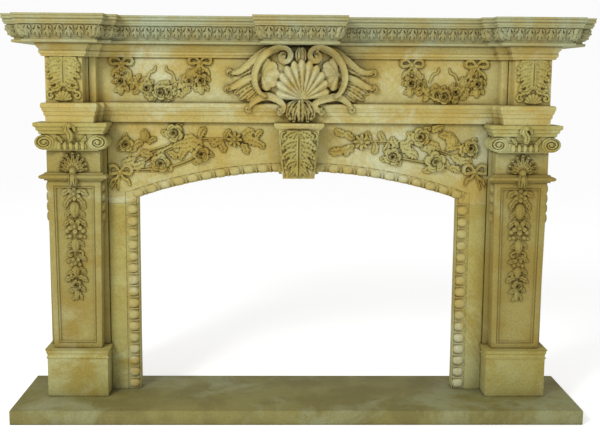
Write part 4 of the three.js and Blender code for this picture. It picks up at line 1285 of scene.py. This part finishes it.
# %% [markdown]
# The header is lofted from its face inwards: every ring is the whole outline of the stone with
# the arch cut in it, and only the arch moves from ring to ring.

# %% Arch header


def opening_edge(grow, aside, foot, steps=48):
    """The edge of the opening, grown over the arch and moved aside at the jambs."""
    spring, radius = OPENING_HALF + aside, ARCH_RADIUS + grow
    reach = math.asin(min(1, spring / radius))
    arc = [reach - 2 * reach * i / steps for i in range(steps + 1)]
    arch = [(radius * math.sin(a), ARCH_CENTRE_Z + radius * math.cos(a)) for a in arc]
    return [(spring, foot), *arch, (-spring, foot)]


def header_skin():
    outer = [(-SLIP_OUTER, HEADER_Z), (-SLIP_OUTER, HEADER_TOP)]
    outer += [(SLIP_OUTER, HEADER_TOP), (SLIP_OUTER, HEADER_Z)]

    def ring(grow, aside, set_back):
        edge = opening_edge(grow, aside, HEADER_Z)
        return [(x, face(set_back), z) for x, z in [*outer, *edge]]

    rings = [ring(ARCH_EGG_BAND, JAMB_EGG_BAND, set_back) for set_back in (SLIP_FACE, SLIP_FACE + 3)]
    for s, c in quarter_steps():
        grow, aside = 4 + (ARCH_EGG_BAND - 6) * (1 - s), 4 + (JAMB_EGG_BAND - 6) * (1 - s)
        rings.append(ring(grow, aside, SLIP_FACE + 3 + (EGG_SINK - 3) * c))
    rings += [ring(3, 3, SLIP_SUNK), ring(0, 0, SLIP_SUNK)]
    rings.append(ring(0, 0, SLIP_FACE + SLIP_THICK))
    return loft(rings)


def eggs_of_arch():
    radius = ARCH_RADIUS + ARCH_EGG_BAND * 0.52
    reach = math.asin((OPENING_HALF + JAMB_EGG_BAND * 0.5) / radius)
    count = round(2 * reach * radius / ARCH_EGG_PITCH)
    first = reach * (1 - 1 / count)
    y = face(SLIP_FACE + EGG_SINK) - 2
    arc = [-first + 2 * first * i / 96 for i in range(97)]
    run = [(radius * math.sin(a), y, ARCH_CENTRE_Z + radius * math.cos(a)) for a in arc]
    pitch = 2 * first * radius / (count - 1)
    return repeated("arch eggs", along_face, arch_egg, [run], pitch * SNUG, honey_stone)


print("width of the opening, mm:", 2 * OPENING_HALF)

# %% [markdown]
# The rose sprays in the corners of the header grow from a ribbon bow low on each side towards
# the keystone. Points are set out from the springing of the arch: so far in and so far up.

# %% Rose sprays


def corner(side):
    """Places so far in and so far up from the springing of the arch."""
    line = OPENING_HALF + JAMB_EGG_BAND - SPRAY_INSET
    return lambda inward, up: (side * (line - inward), SPRING_HEIGHT + up)


def spray(c, side, roses, daisies, buds, leaves, stems, knot):
    """Stems first, then leaves, buds and flowers, and the bow that ties them."""
    p = corner(side)
    for line in stems:
        cord(c, [p(a, b) for a, b in line], 4.2)
        cord(c, [p(a + 3, b - 8) for a, b in line], 3.2)
    for a, b, angle, length in leaves:
        leaf(c, *p(a, b), angle if side < 0 else 180 - angle, length * 1.1, length * 0.46, height=12)
    for a, b, length, radius, angle in buds:
        turned = angle if side < 0 else 180 - angle
        for lean in (-40, 40):
            leaf(c, *p(a, b), turned + 180 + lean, length * 0.8, height=11)
        bud(c, *p(a, b), length, radius, 19, turned, base=2)
    for a, b, radius, count in daisies:
        daisy(c, *p(a, b), radius, 17, count, 20, base=4)
    for a, b, radius, angle in roses:
        for i in range(3):
            leaf(c, *p(a, b), angle + 40 + i * 120, radius * 1.45, radius * 0.5, height=11)
        rose(c, *p(a, b), radius, 22, angle, base=5)
    bow(c, *p(*knot), 36, base=1, height=13)


header_carving = Carving(-655, 655, HEADER_Z + 38, HEADER_TOP - 3, cell=1.9)
spray(
    header_carving,
    -1,
    roses=[(123, 226, 33, 10), (75, 122, 34, 40), (215, 153, 31, 70), (-42, 186, 27, 50)],
    daisies=[(331, 205, 27, 8)],
    buds=[(24, 214, 40, 15, 75)],
    leaves=[
        (-12, 140, 200, 46), (-6, 165, 140, 44), (30, 196, 100, 40), (34, 190, 30, 30),
        (150, 196, 10, 46), (160, 185, -35, 44), (143, 132, 60, 42), (100, 160, -40, 36),
        (212, 206, 62, 40), (240, 206, -50, 34), (274, 196, -62, 40), (300, 206, 62, 34),
        (360, 205, 38, 46), (365, 200, -14, 50), (352, 190, -60, 40), (404, 208, 50, 34),
        (404, 196, -40, 34), (168, 198, -25, 52), (190, 190, 200, 46), (118, 176, 15, 44),
        (20, 128, 205, 44), (50, 150, 160, 42), (252, 178, 30, 40), (-20, 172, 30, 38),
    ],
    stems=[
        [(-65, 90), (-30, 150), (-42, 190)],
        [(-65, 90), (0, 150), (100, 186), (123, 226)],
        [(-65, 90), (20, 130), (110, 178), (210, 206), (331, 205)],
        [(-50, 100), (60, 100), (140, 120), (215, 153)],
        [(331, 205), (380, 200), (425, 190)],
        [(-65, 90), (-80, 62), (-97, 36)],
        [(-65, 90), (-72, 62), (-76, 32)],
    ],
    knot=(-65, 90),
)
print("the left spray stands out, mm:", header_carving.stands())

# %% [markdown]
# The right spray isn't the left one mirrored: its roses are placed otherwise, its stem forks at
# the end, and its bow sits a little higher.

# %% Right spray, and the header with both
spray(
    header_carving,
    1,
    roses=[(226, 149, 31, 30), (130, 217, 34, 0), (76, 131, 38, 60), (-46, 180, 28, 15)],
    daisies=[(334, 199, 29, 8)],
    buds=[(14, 206, 40, 15, 80)],
    leaves=[
        (356, 210, 38, 38), (384, 226, 22, 42), (360, 190, -25, 48), (394, 176, -10, 48),
        (384, 180, -75, 30), (300, 202, 70, 34), (287, 197, -80, 38), (250, 202, 60, 36),
        (240, 197, -60, 34), (183, 160, 200, 44), (190, 150, 30, 34), (90, 232, 150, 44),
        (66, 222, 195, 46), (40, 205, 230, 38), (22, 150, 215, 46), (110, 165, 130, 40),
        (-20, 150, 100, 40), (160, 205, -20, 40), (176, 190, 150, 50), (150, 170, 20, 46),
        (205, 180, 60, 40), (110, 190, 200, 46), (40, 170, 160, 46), (20, 186, 95, 42),
        (-8, 128, 175, 40), (30, 110, 200, 40),
    ],
    stems=[
        [(-63, 97), (-50, 140), (-46, 184)],
        [(-63, 97), (0, 150), (70, 175), (130, 217)],
        [(-63, 97), (60, 120), (226, 149)],
        [(110, 190), (200, 200), (334, 199)],
        [(334, 199), (372, 215), (415, 236)],
        [(334, 199), (376, 184), (428, 168)],
        [(-63, 97), (-76, 66), (-86, 38)],
        [(-63, 97), (-88, 74), (-103, 48)],
    ],
    knot=(-63, 97),
)
merged(
    "arch_header_stone",
    [
        baked(stone_object("header", header_skin(), honey_stone, 1.2)),
        stone_object("sprays", header_carving.skin(on_front(face(SLIP_FACE))), carved_stone, 0),
        eggs_of_arch(),
    ],
)

# %% [markdown]
# The keystone is a console: it narrows as it falls, and its front draws back towards the foot in a
# soft S. The leaf on it is carved on the same curve, so both use one formula.

# %% Keystone
KEY_TOP = HEADER_TOP - KEY_CAP_HEIGHT
KEY_FOOT = SPRING_HEIGHT + ARCH_RISE - KEY_DROP
KEY_HEAD = KEY_HEAD_WIDTH / 2


def key_swell(share):
    """How far the console's front lies behind its face, by the share of its height."""
    return 24 * (1 - share) ** 3 + 13 * np.sin(math.pi * share) ** 2 - 2 * share + 2


def keystone_skin(steps=14):
    back, tail, cap = face(SLIP_FACE) - JOINT, KEY_FOOT_WIDTH / 2, KEY_CAP_WIDTH / 2

    def ring(z, half, set_back):
        return [(-half, face(set_back), z), (half, face(set_back), z), (half, back, z), (-half, back, z)]

    rings = []
    for i in range(steps + 1):
        s = i / steps
        half = tail + (KEY_HEAD - tail) * s**1.3 - 2 * (1 - s) ** 4
        rings.append(ring(KEY_FOOT + (KEY_TOP - KEY_FOOT) * s, half, KEY_FACE + key_swell(s)))
    for rise, grow, out in ((1, 4, 2), (4, 7, 5), (9, 13, 9), (13, 14, 10)):
        rings.append(ring(KEY_TOP + rise, KEY_HEAD + grow, KEY_FACE - out))
    rings += [ring(KEY_TOP + 14, cap, KEY_FACE - 12), ring(HEADER_TOP, cap, KEY_FACE - 12)]
    return loft(rings)


def key_carving():
    """The acanthus down the front, and a scroll at the head and foot of each flank."""
    c = Carving(-KEY_HEAD, KEY_HEAD, KEY_FOOT + 1, KEY_TOP - 1, cell=1.6)
    acanthus(c, 0, KEY_TOP - 4, (KEY_TOP - KEY_FOOT) * 0.84, KEY_HEAD_WIDTH * 0.88, -90, 4, 15)
    for side in (-1, 1):
        volute(c, side * 48, KEY_TOP - 22, 15, -side, 1.2, 5, 10)
        cord(c, [(side * 62, KEY_TOP - 40), (side * 56, KEY_FOOT + 60), (side * 48, KEY_FOOT + 8)], 4)
        frond(c, [(0, KEY_FOOT + 50), (side * 18, KEY_FOOT + 26), (side * 34, KEY_FOOT + 6)], 11, 12)
    frond(c, [(0, KEY_FOOT + 56), (0, KEY_FOOT + 30), (0, KEY_FOOT + 3)], 15, 15)

    def on_console(u, v, w):
        share = np.clip((v - KEY_FOOT) / (KEY_TOP - KEY_FOOT), 0, 1)
        return np.stack([u, face(KEY_FACE) + key_swell(share) - w, v], 1)

    skins = [c.skin(on_console)]
    for side in (-1, 1):
        flank = Carving(face(KEY_FACE) + 12, face(SLIP_FACE) - 4, KEY_FOOT + 6, KEY_TOP - 2, cell=1.8)
        volute(flank, face(KEY_FACE) + 38, KEY_TOP - 34, 22, 1, 1.5, 6, 6)
        volute(flank, face(KEY_FACE) + 46, KEY_FOOT + 32, 14, -1, 1.2, 5, 6, start=-90)
        skins.append(flank.skin(on_side(side * (KEY_HEAD - 5), side)))
    return joined(*skins)


merged(
    "keystone_stone",
    [
        *cut_stones([keystone_skin()], honey_stone, 1.0),
        stone_object("key leaf", key_carving(), ochre_stone, 0),
    ],
)

# %% [markdown]
# The frieze is one long stone with three zones: the stepped architrave, the carved field and
# the bed moulding under the shelf. Its end blocks break forward over the pilasters.

# %% Frieze block


def frieze_skins():
    half = ARCHITRAVE_BLOCK_WIDTH / 2
    architrave = broken_plan(
        [
            (PILASTER_X - half - ARCHITRAVE_STEP, face(PANEL_FACE - 6)),
            (PILASTER_X - half, face(STILE_FACE)),
            (PILASTER_X + half, face(ARCHITRAVE_FACE)),
        ]
    )
    field = broken_plan(
        [
            (STILE_INNER, face(PANEL_FACE)),
            (STILE_INNER + 22, face(STILE_FACE)),
            (STILE_INNER + 25, face(STILE_FACE) + 7),
            (BLOCK_INNER, face(STILE_FACE)),
            (BLOCK_OUTER, face(BLOCK_FACE)),
        ]
    )
    bed = broken_plan(
        [
            (STILE_INNER, face(PANEL_FACE)),
            (BLOCK_INNER, face(STILE_FACE)),
            (BLOCK_OUTER, face(BLOCK_FACE)),
        ]
    )

    def low(share):
        return FRIEZE_Z + ARCHITRAVE_HEIGHT * share

    lower = [(low(0), 0), (low(0.26), 1)] + cavetto(low(0.27), 1, low(0.36), 4, 4)
    lower += [(low(0.37), 5), (low(0.54), 6)] + ovolo(low(0.55), 6, low(0.66), 10, 4)
    lower += [(low(0.67), 11), (low(0.76), 12), (low(0.77), 14), (low(0.9), 14)]
    lower += cavetto(low(0.91), 14, low(1.0), 8, 4)

    def high(share):
        return BED_Z + BED_HEIGHT * share

    upper = [(high(0), 2), (high(0.02), 10), (high(0.16), 11)] + ovolo(high(0.17), 12, high(0.42), 17, 5)
    upper += [(high(0.43), 15), (high(0.5), 15)] + cyma(high(0.51), 16, high(0.82), 24, 8)
    upper += [(high(0.84), 26), (SHELF_Z - JOINT, 26)]
    return [
        moulded(architrave, lower),
        moulded(field, [(FIELD_Z - 2, 0), (BED_Z + 2, 0)]),
        moulded(bed, upper),
    ]


print("height of the carved field, mm:", FIELD_HEIGHT)

# %% [markdown]
# Each end block has an acanthus leaf that hangs from its head, two scrolls at its foot and a
# small shell between them.

# %% Acanthus on the end blocks


def block_carving(side):
    x = side * (BLOCK_INNER + BLOCK_OUTER) / 2
    width = BLOCK_OUTER - BLOCK_INNER
    c = Carving(x - width / 2 + 1, x + width / 2 - 1, FIELD_Z + 2, BED_Z - 1, cell=2.1)
    acanthus(c, x, BED_Z - 4, FIELD_HEIGHT * 0.64, width * 0.94, -90, 4, 11)
    for lean in (-1, 1):
        head = [(x + lean * 10, BED_Z - 6), (x + lean * 34, BED_Z - 8), (x + lean * 52, BED_Z - 28)]
        curled(c, head, 13, 12, 7)
        foot = [(x, FIELD_Z + 66), (x + lean * 24, FIELD_Z + 46), (x + lean * 44, FIELD_Z + 52)]
        curled(c, foot, 13, 12, 8)
        stem = [(x + lean * 12, FIELD_Z + 42)]
        volute(c, x + lean * 43, FIELD_Z + 24, 13, -lean, 1.1, 5, 10, start=90, lead=stem)
    shell(c, x, FIELD_Z + 5, 37, 90, 165, 7, 13, base=2)
    return c.skin(on_front(face(BLOCK_FACE)))


# %% [markdown]
# The swags hang between two bows, thick with roses in the middle, and a drop of flowers falls
# from each bow. They are set out from the stile: so far in and so far up.

# %% Garlands


def swag(c, side, start, end, low, twist, pairs=20, flowers=11):
    """Leaves in pairs along a hanging line, flowers on them, and a bow and a drop at each end."""

    def p(a, b):
        return (side * (STILE_INNER - a), FIELD_Z + b)

    def along(t):
        belly = (4 * t * (1 - t)) ** 0.8
        level = start[1] + (end[1] - start[1]) * t - 14
        return start[0] + (end[0] - start[0]) * t, level - (level - low) * belly

    cord(c, [p(*along(t)) for t in np.linspace(0.02, 0.98, 9)], 6)
    for k in range(pairs):
        t = (k + 0.5) / pairs
        a, b = along(t)
        size = 0.5 + 0.5 * math.sin(math.pi * t)
        for lean in (-1, 1):
            angle = (72 + 25 * math.sin(k * twist)) * lean + (0 if k % 2 else 180)
            leaf(c, *p(a, b), angle, 20 + 20 * size, 9 + 4 * size, height=10)
    for k in range(flowers):
        t = (k + 0.5) / flowers
        a, b = along(t)
        size = 0.5 + 0.5 * math.sin(math.pi * t)
        wobble = 5 * math.sin(k * twist * 2.1)
        if k % 3 == 0:
            rose(c, *p(a, b + wobble), 25 * size, 21 * size, 30 * k, base=4)
        elif k % 3 == 1:
            daisy(c, *p(a, b + wobble), 23 * size, 18 * size, 6, 25 * k, base=3)
        else:
            for lean in (-1, 0, 1):
                dome(c, *p(a + 7 * lean, b + wobble + 7 * abs(lean) - 4), 10 * size, 18 * size, base=2)
    rose(c, *p((start[0] + end[0]) / 2, low), 28, 25, 20, base=5)
    for (a, b), flip in ((start, 1), (end, -1)):
        cord(c, [p(a, b), p(a - 4 * flip, b - 60)], 4)
        for lean in (-1, 1):
            leaf(c, *p(a, b - 20), -90 + lean * 62, 34, 11, height=10)
            leaf(c, *p(a - 3 * flip, b - 46), -90 + lean * 58, 38, 12, height=11)
            leaf(c, *p(a - 3 * flip, b - 70), -90 + lean * 40, 38, 12, height=10)
            dome(c, *p(a + 17 * lean, b - 46), 8, 14)
        daisy(c, *p(a, b - 36), 17, 16, 6, base=3)
        rose(c, *p(a - 3 * flip, b - 62), 21, 20, base=4)
        bud(c, *p(a - 4 * flip, b - 92), 38, 12, 15, -90, base=1)
        bow(c, *p(a, b), 34, base=1, height=12, flat=0.5)
    for flip in (-1, 1):
        a = (start[0] + end[0]) / 2 + flip * 18
        ribbon(c, [p(a, 122), p(a + flip * 4, 108), p(a + flip * 20, 100), p(a + flip * 30, 76)], 5, 8)


LEFT_SWAG = ((81, 134), (347, 138), 36, 1.3)
RIGHT_SWAG = ((78, 132), (300, 133), 27, 2.2)


def garland_carving():
    c = Carving(-STILE_INNER + 2, STILE_INNER - 2, FIELD_Z + 1, BED_Z - 1, cell=2.1)
    swag(c, -1, *LEFT_SWAG)
    swag(c, 1, *RIGHT_SWAG)
    return c.skin(on_front(face(PANEL_FACE)))


print("widths of the swags, mm:", [end[0] - start[0] for start, end, *_ in (LEFT_SWAG, RIGHT_SWAG)])

# %% [markdown]
# The cartouche in the middle is the boldest carving: two C-scrolls that curl under the shelf,
# fronds behind them and a ribbed shell between. Its two halves were carved by eye and differ, so
# each has its own lines, given as so far out from the middle and so far up the field.

# %% Lines of the two scrolls
LEFT_SCROLL = {
    "band": [(118, 26), (138, 42), (150, 72), (149, 106), (134, 142), (108, 170), (78, 184)],
    "coil": (53, 158, 26),
    "ear": (130, 98),
    "body": [(50, [(120, 110), (170, 92), (222, 66)]), (38, [(122, 64), (168, 44), (208, 20)])],
    "curls": [
        [(70, 190), (116, 176), (156, 146), (190, 116), (214, 104), (234, 106)],
        [(146, 96), (176, 82), (210, 62), (240, 48)],
    ],
    "fronds": [
        (15, [(140, 130), (170, 112), (204, 96)]),
        (15, [(146, 74), (186, 58), (222, 30)]),
        (15, [(142, 58), (174, 38), (204, 12)]),
        (14, [(136, 46), (156, 28), (178, 8)]),
    ],
    "lower": [(56, -26), (54, -6), (76, 14), (114, 25), (152, 7), (170, -12)],
}
RIGHT_SCROLL = {
    "band": [(124, 24), (142, 42), (154, 72), (154, 104), (140, 140), (116, 168), (84, 184)],
    "coil": (56, 160, 25),
    "ear": (134, 100),
    "body": [(50, [(128, 112), (182, 96), (236, 68)]), (40, [(130, 66), (180, 46), (226, 20)])],
    "curls": [
        [(80, 190), (124, 174), (164, 144), (200, 116), (226, 106), (248, 106)],
        [(152, 96), (186, 82), (222, 62), (252, 52)],
    ],
    "fronds": [
        (15, [(146, 130), (180, 114), (216, 98)]),
        (15, [(152, 74), (198, 58), (238, 32)]),
        (15, [(148, 58), (186, 38), (222, 12)]),
        (14, [(142, 46), (166, 28), (192, 8)]),
    ],
    "lower": [(66, -24), (54, -2), (82, 14), (130, 23), (164, 5), (176, -12)],
}
print("fronds in a half of the cartouche:", len(LEFT_SCROLL["fronds"]))

# %% [markdown]
# The cartouche leans out as it rises, so its base height grows with the level. Body, fronds,
# curls, ear and coil are laid from the back to the front. A leaf curls below the shell.

# %% Cartouche
SHELL_AT = (12, 14)
CARTOUCHE_STAND = PANEL_FACE - BLOCK_FACE


def cartouche_lift(u, v):
    """How far the cartouche leans out: more with height, and less towards its ends."""
    rise = np.clip((v - FRIEZE_Z) / (SHELF_Z - FRIEZE_Z), 0, 1)
    fall = np.clip(np.abs(u) / 230, 0, 1) ** 2
    return CARTOUCHE_STAND * (0.1 + 0.5 * rise**1.2) * (1 - fall)


def higher(step):
    return lambda u, v: cartouche_lift(u, v) + step


def scroll_half(c, side, form):
    """One half of the cartouche, from its lines."""

    def at(points):
        return [(side * x, FIELD_Z + v) for x, v in points]

    for wide, line in form["body"]:
        frond(c, at(line), wide, 15, base=higher(-6), veins=0.7, teeth=3)
    for wide, line in form["fronds"]:
        frond(c, at(line), wide, 20, base=higher(-2), veins=0.4)
    for line in form["curls"]:
        ribbon(c, at(line), 13, 20, base=higher(4), ends=0.6)
        x, v = line[-1]
        volute(c, side * (x + 3), FIELD_Z + v + 1, 12, side, 0.9, 5, 20, base=higher(4), start=-90)
    x, v = form["ear"]
    shell(c, side * x, FIELD_Z + v, 68, 90 + side * 90, 170, 5, 20, base=cartouche_lift, squash=1.05)
    ribbon(c, at(form["lower"]), 14, 22, base=higher(4), ends=0.6)
    x, v = form["lower"][-1]
    volute(c, side * (x + 2), FIELD_Z + v - 8, 12, -side, 1.1, 6, 20, base=higher(4))
    x, v = form["lower"][0]
    volute(c, side * (x + 12), FIELD_Z + v - 2, 12, side, 1.1, 6, 20, base=higher(4))
    x, v, radius = form["coil"]
    volute(c, side * x, FIELD_Z + v, radius, side, 1.05, 13, 27, base=higher(10), lead=at(form["band"]))


def foot_leaf(c, x, top):
    """The leaf below the shell: broad lobes that fall to each side and curl, and one in front."""
    for side in (-1, 1):
        outer = [(x + side * 8, top), (x + side * 34, top - 22)]
        outer += [(x + side * 44, top - 50), (x + side * 36, top - 70)]
        curled(c, outer, 17, 22, 8, base=12, veins=0.5)
        inner = [(x + side * 6, top - 14), (x + side * 20, top - 44), (x + side * 24, top - 82)]
        curled(c, inner, 14, 22, 7, base=14, veins=0.5)
    frond(c, [(x, top + 8), (x, top - 40), (x, top - 88)], 17, 26, base=16, veins=0.5)


def cartouche_carving():
    c = Carving(-268, 268, FRIEZE_Z + 4, SHELF_Z - 2, cell=2.3)
    dome(c, 2, FIELD_Z + 100, 88, 14, base=higher(-4), stretch=1.6)
    scroll_half(c, -1, LEFT_SCROLL)
    scroll_half(c, 1, RIGHT_SCROLL)
    x, v = SHELL_AT[0], FIELD_Z + SHELL_AT[1]
    shell(c, x, v, 142, 92, 172, 11, 30, base=higher(8), squash=0.8)
    for lean in (-1, 0, 1):
        crest = ((4 + lean * 5, 190), (4 + lean * 12, 168), (4 + lean * 9, 138))
        frond(c, [(a, FIELD_Z + b) for a, b in crest], 10, 22, base=higher(12))
    foot_leaf(c, x - 6, v + 4)
    return c.skin(on_front(face(PANEL_FACE)))


merged(
    "frieze_stone",
    [
        *cut_stones(frieze_skins(), honey_stone, 1.4),
        stone_object("blocks", joined(block_carving(-1), block_carving(1)), ochre_stone, 0),
        stone_object("garlands", garland_carving(), carved_stone, 0),
        stone_object("cartouche", cartouche_carving(), honey_stone, 0),
    ],
)

# %% [markdown]
# The shelf is a cornice: its mouldings step out under a flat top and turn round every break. Its
# section is given in shares of its height and of its overhang past the riser.

# %% Mantel shelf
BAND_LOW, BAND_HIGH = 0.18, 0.61


def shelf_plan():
    outer = BLOCK_OUTER - 3
    return broken_plan(
        [
            (CENTRE_HALF, face(BLOCK_FACE)),
            (STILE_INNER, face(PANEL_FACE + 6)),
            (BLOCK_INNER, face(STILE_FACE)),
            (outer, face(BLOCK_FACE)),
            (outer + SHELF_END_STEP, face(STILE_FACE)),
        ]
    )


def shelf_level(share):
    return SHELF_Z + share * SHELF_HEIGHT


def shelf_out(share):
    return SHELF_RISER + share * (SHELF_OVERHANG - SHELF_RISER)


def band_bulge(share):
    """The bulging ground under the leaves, from its foot to the fillet above."""
    s = np.clip((share - BAND_LOW) / (BAND_HIGH - BAND_LOW), 0, 1)
    return -0.3 + 0.68 * np.sin(s * math.pi / 2) ** 0.9


def shelf_skin():
    section = [(0, -0.1), (0.02, 0), (0.1, 0), (0.11, -0.3), (0.17, -0.3)]
    section += [(s, band_bulge(s)) for s in np.linspace(BAND_LOW, BAND_HIGH, 9)]
    section += [(0.63, 0.5), (0.64, 0.66), (0.7, 0.7), (0.71, 0.8), (0.78, 0.84), (0.79, 0.76)]
    section += [(0.81, 0.76), (0.83, 0.96), (0.9, 0.97), (0.905, 0.92), (0.925, 0.92), (0.93, 1), (1, 1)]
    return moulded(shelf_plan(), [(shelf_level(rise), shelf_out(out)) for rise, out in section])


print("height of the leaf band, mm:", round(shelf_level(BAND_HIGH) - shelf_level(BAND_LOW), 1))

# %% [markdown]
# A band of small leaves fills the hollow under the shelf. One leaf is carved on the band's own
# curve and repeated along each straight run, with one more set across each outer corner.

# %% Leaves under the shelf


def leaf_shape(pitch, height):
    """One leaf of the band: curled lobes on a rib, wide enough to touch the next."""
    small = Carving(-pitch / 2, pitch / 2, 0, height, cell=2.2)
    for side in (-1, 1):
        for root, across, fall in ((0.98, 0.42, 0.6), (0.66, 0.34, 0.22)):
            middle = (side * pitch * across * 0.7, height * (root * 0.6 + fall * 0.4))
            tip = (side * pitch * across, height * fall)
            curled(small, [(side * 2, height * root), middle, tip], pitch * 0.17, 8, pitch * 0.09)
    frond(small, [(0, height), (0, height * 0.5), (0, -2)], pitch * 0.2, 10, base=1)

    def leaning(u, v, w):
        share = BAND_LOW + np.clip(v / height, 0, 1) * (BAND_HIGH - BAND_LOW)
        lean = shelf_out(band_bulge(share)) - shelf_out(-0.3)
        return np.stack([u, -lean - w, v], 1)

    made = stone_object("shelf_leaf", small.skin(leaning), shelf_stone, 0)
    made.data.shade_smooth()
    return made


LEAF_PITCH = 34
band_height = shelf_level(BAND_HIGH) - shelf_level(BAND_LOW)
shelf_leaf = leaf_shape(LEAF_PITCH, band_height)


def shelf_runs():
    """The straight runs of the band, half a leaf short at each end, and one leaf on each mitre."""
    ring = grown_plan(shelf_plan(), shelf_out(-0.3), shelf_level(BAND_LOW))
    runs = []
    for i, a in enumerate(ring):
        before, b = ring[i - 1], ring[(i + 1) % len(ring)]
        a, b, into = np.array(a), np.array(b), np.array(a) - np.array(before)
        length = np.linalg.norm(b - a)
        if a[1] == BACK and b[1] == BACK:
            continue
        d = (b - a) / length
        convex = np.cross(into[:2], d[:2]) > 0
        if convex and a[1] < BACK:
            across = d + into / np.linalg.norm(into)
            across = across / np.linalg.norm(across)
            runs.append([tuple(a - across), tuple(a + across)])
        count = round(length / LEAF_PITCH)
        if count < 1:
            continue
        spare = (length - (count - 1) * LEAF_PITCH) / 2 if count > 1 else length / 2 - 1
        runs.append([tuple(a + d * spare), tuple(b - d * spare)])
    return runs


band = repeated("band", along_shelf, shelf_leaf, shelf_runs(), LEAF_PITCH * SNUG, shelf_stone, seed=11)
merged("mantel_shelf_stone", [baked(stone_object("shelf", shelf_skin(), shelf_stone, 1.4)), band])
for spare_shape in (jamb_egg, arch_egg, shelf_leaf):
    bpy.data.objects.remove(spare_shape)

# %% [markdown]
# Every stone here takes the place of the plain block of the same name in the solid model. The
# frame is told which block it replaces and which body it rides on.

# %% Hand the pieces to the frame
for made in [o for o in bpy.data.objects if o.name.endswith("_stone")]:
    node = made.name[: -len("_stone")]
    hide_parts(node)
    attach(made, "root")
    triangles = sum(len(p.vertices) - 2 for p in made.data.polygons)
    print(f"{node}: {triangles} triangles")

# %% [markdown]
# The floor and the light are a plain studio: a pale floor, a broad lamp high on the left and a
# white surround that fills the shadows.

# %% Floor and light
FLOOR_REACH = 8
ROOM_LIGHT, PAPER_WHITE = 0.7, 0.97
floor_corners = [(-FLOOR_REACH, -FLOOR_REACH, 0), (FLOOR_REACH, -FLOOR_REACH, 0)]
floor_corners += [(FLOOR_REACH, FLOOR_REACH, 0), (-FLOOR_REACH, FLOOR_REACH, 0)]
floor_mesh = bpy.data.meshes.new("studio_floor")
floor_mesh.from_pydata(floor_corners, [], [(0, 1, 2, 3)])
floor_paint = bpy.data.materials.new("pale floor")
floor_paint.use_nodes = True
floor_shader = floor_paint.node_tree.nodes["Principled BSDF"]
floor_shader.inputs["Base Color"].default_value = (0.93, 0.93, 0.93, 1)
floor_shader.inputs["Roughness"].default_value = 0.9
floor_shader.inputs["Emission Color"].default_value = (1, 1, 1, 1)
floor_shader.inputs["Emission Strength"].default_value = 0.3
floor_mesh.materials.append(floor_paint)
floor = bpy.data.objects.new("studio_floor", floor_mesh)
bpy.context.scene.collection.objects.link(floor)


def lamp(name, at, aim, size, power):
    data = bpy.data.lights.new(name, "AREA")
    data.shape = "DISK"
    data.size = size
    data.energy = power
    made = bpy.data.objects.new(name, data)
    made.location = at
    made.rotation_euler = (Vector(aim) - Vector(at)).to_track_quat("-Z", "Y").to_euler()
    bpy.context.scene.collection.objects.link(made)


lamp("key lamp", (-2.2, -3.4, 3.1), (0, 0, 0.75), 1.4, 130)
lamp("fill lamp", (2.5, -3.5, 1.8), (0, 0, 0.7), 2.5, 18)
world = bpy.data.worlds.new("studio")
world.use_nodes = True
world.node_tree.nodes.clear()
surround = Wiring(world.node_tree)
light = surround.node("ShaderNodeBackground", Color=(1, 1, 1, 1), Strength=ROOM_LIGHT)
paper = surround.node("ShaderNodeBackground", Color=(1, 1, 1, 1), Strength=PAPER_WHITE)
seen = surround.node("ShaderNodeMixShader", Fac=surround.node("ShaderNodeLightPath").outputs["Is Camera Ray"])
surround.feed(seen.inputs[1], light.outputs[0])
surround.feed(seen.inputs[2], paper.outputs[0])
surround.feed(surround.node("ShaderNodeOutputWorld").inputs["Surface"], seen.outputs[0])
bpy.context.scene.world = world
bpy.context.scene.view_settings.view_transform = "Standard"
bpy.context.scene.view_settings.look = "None"
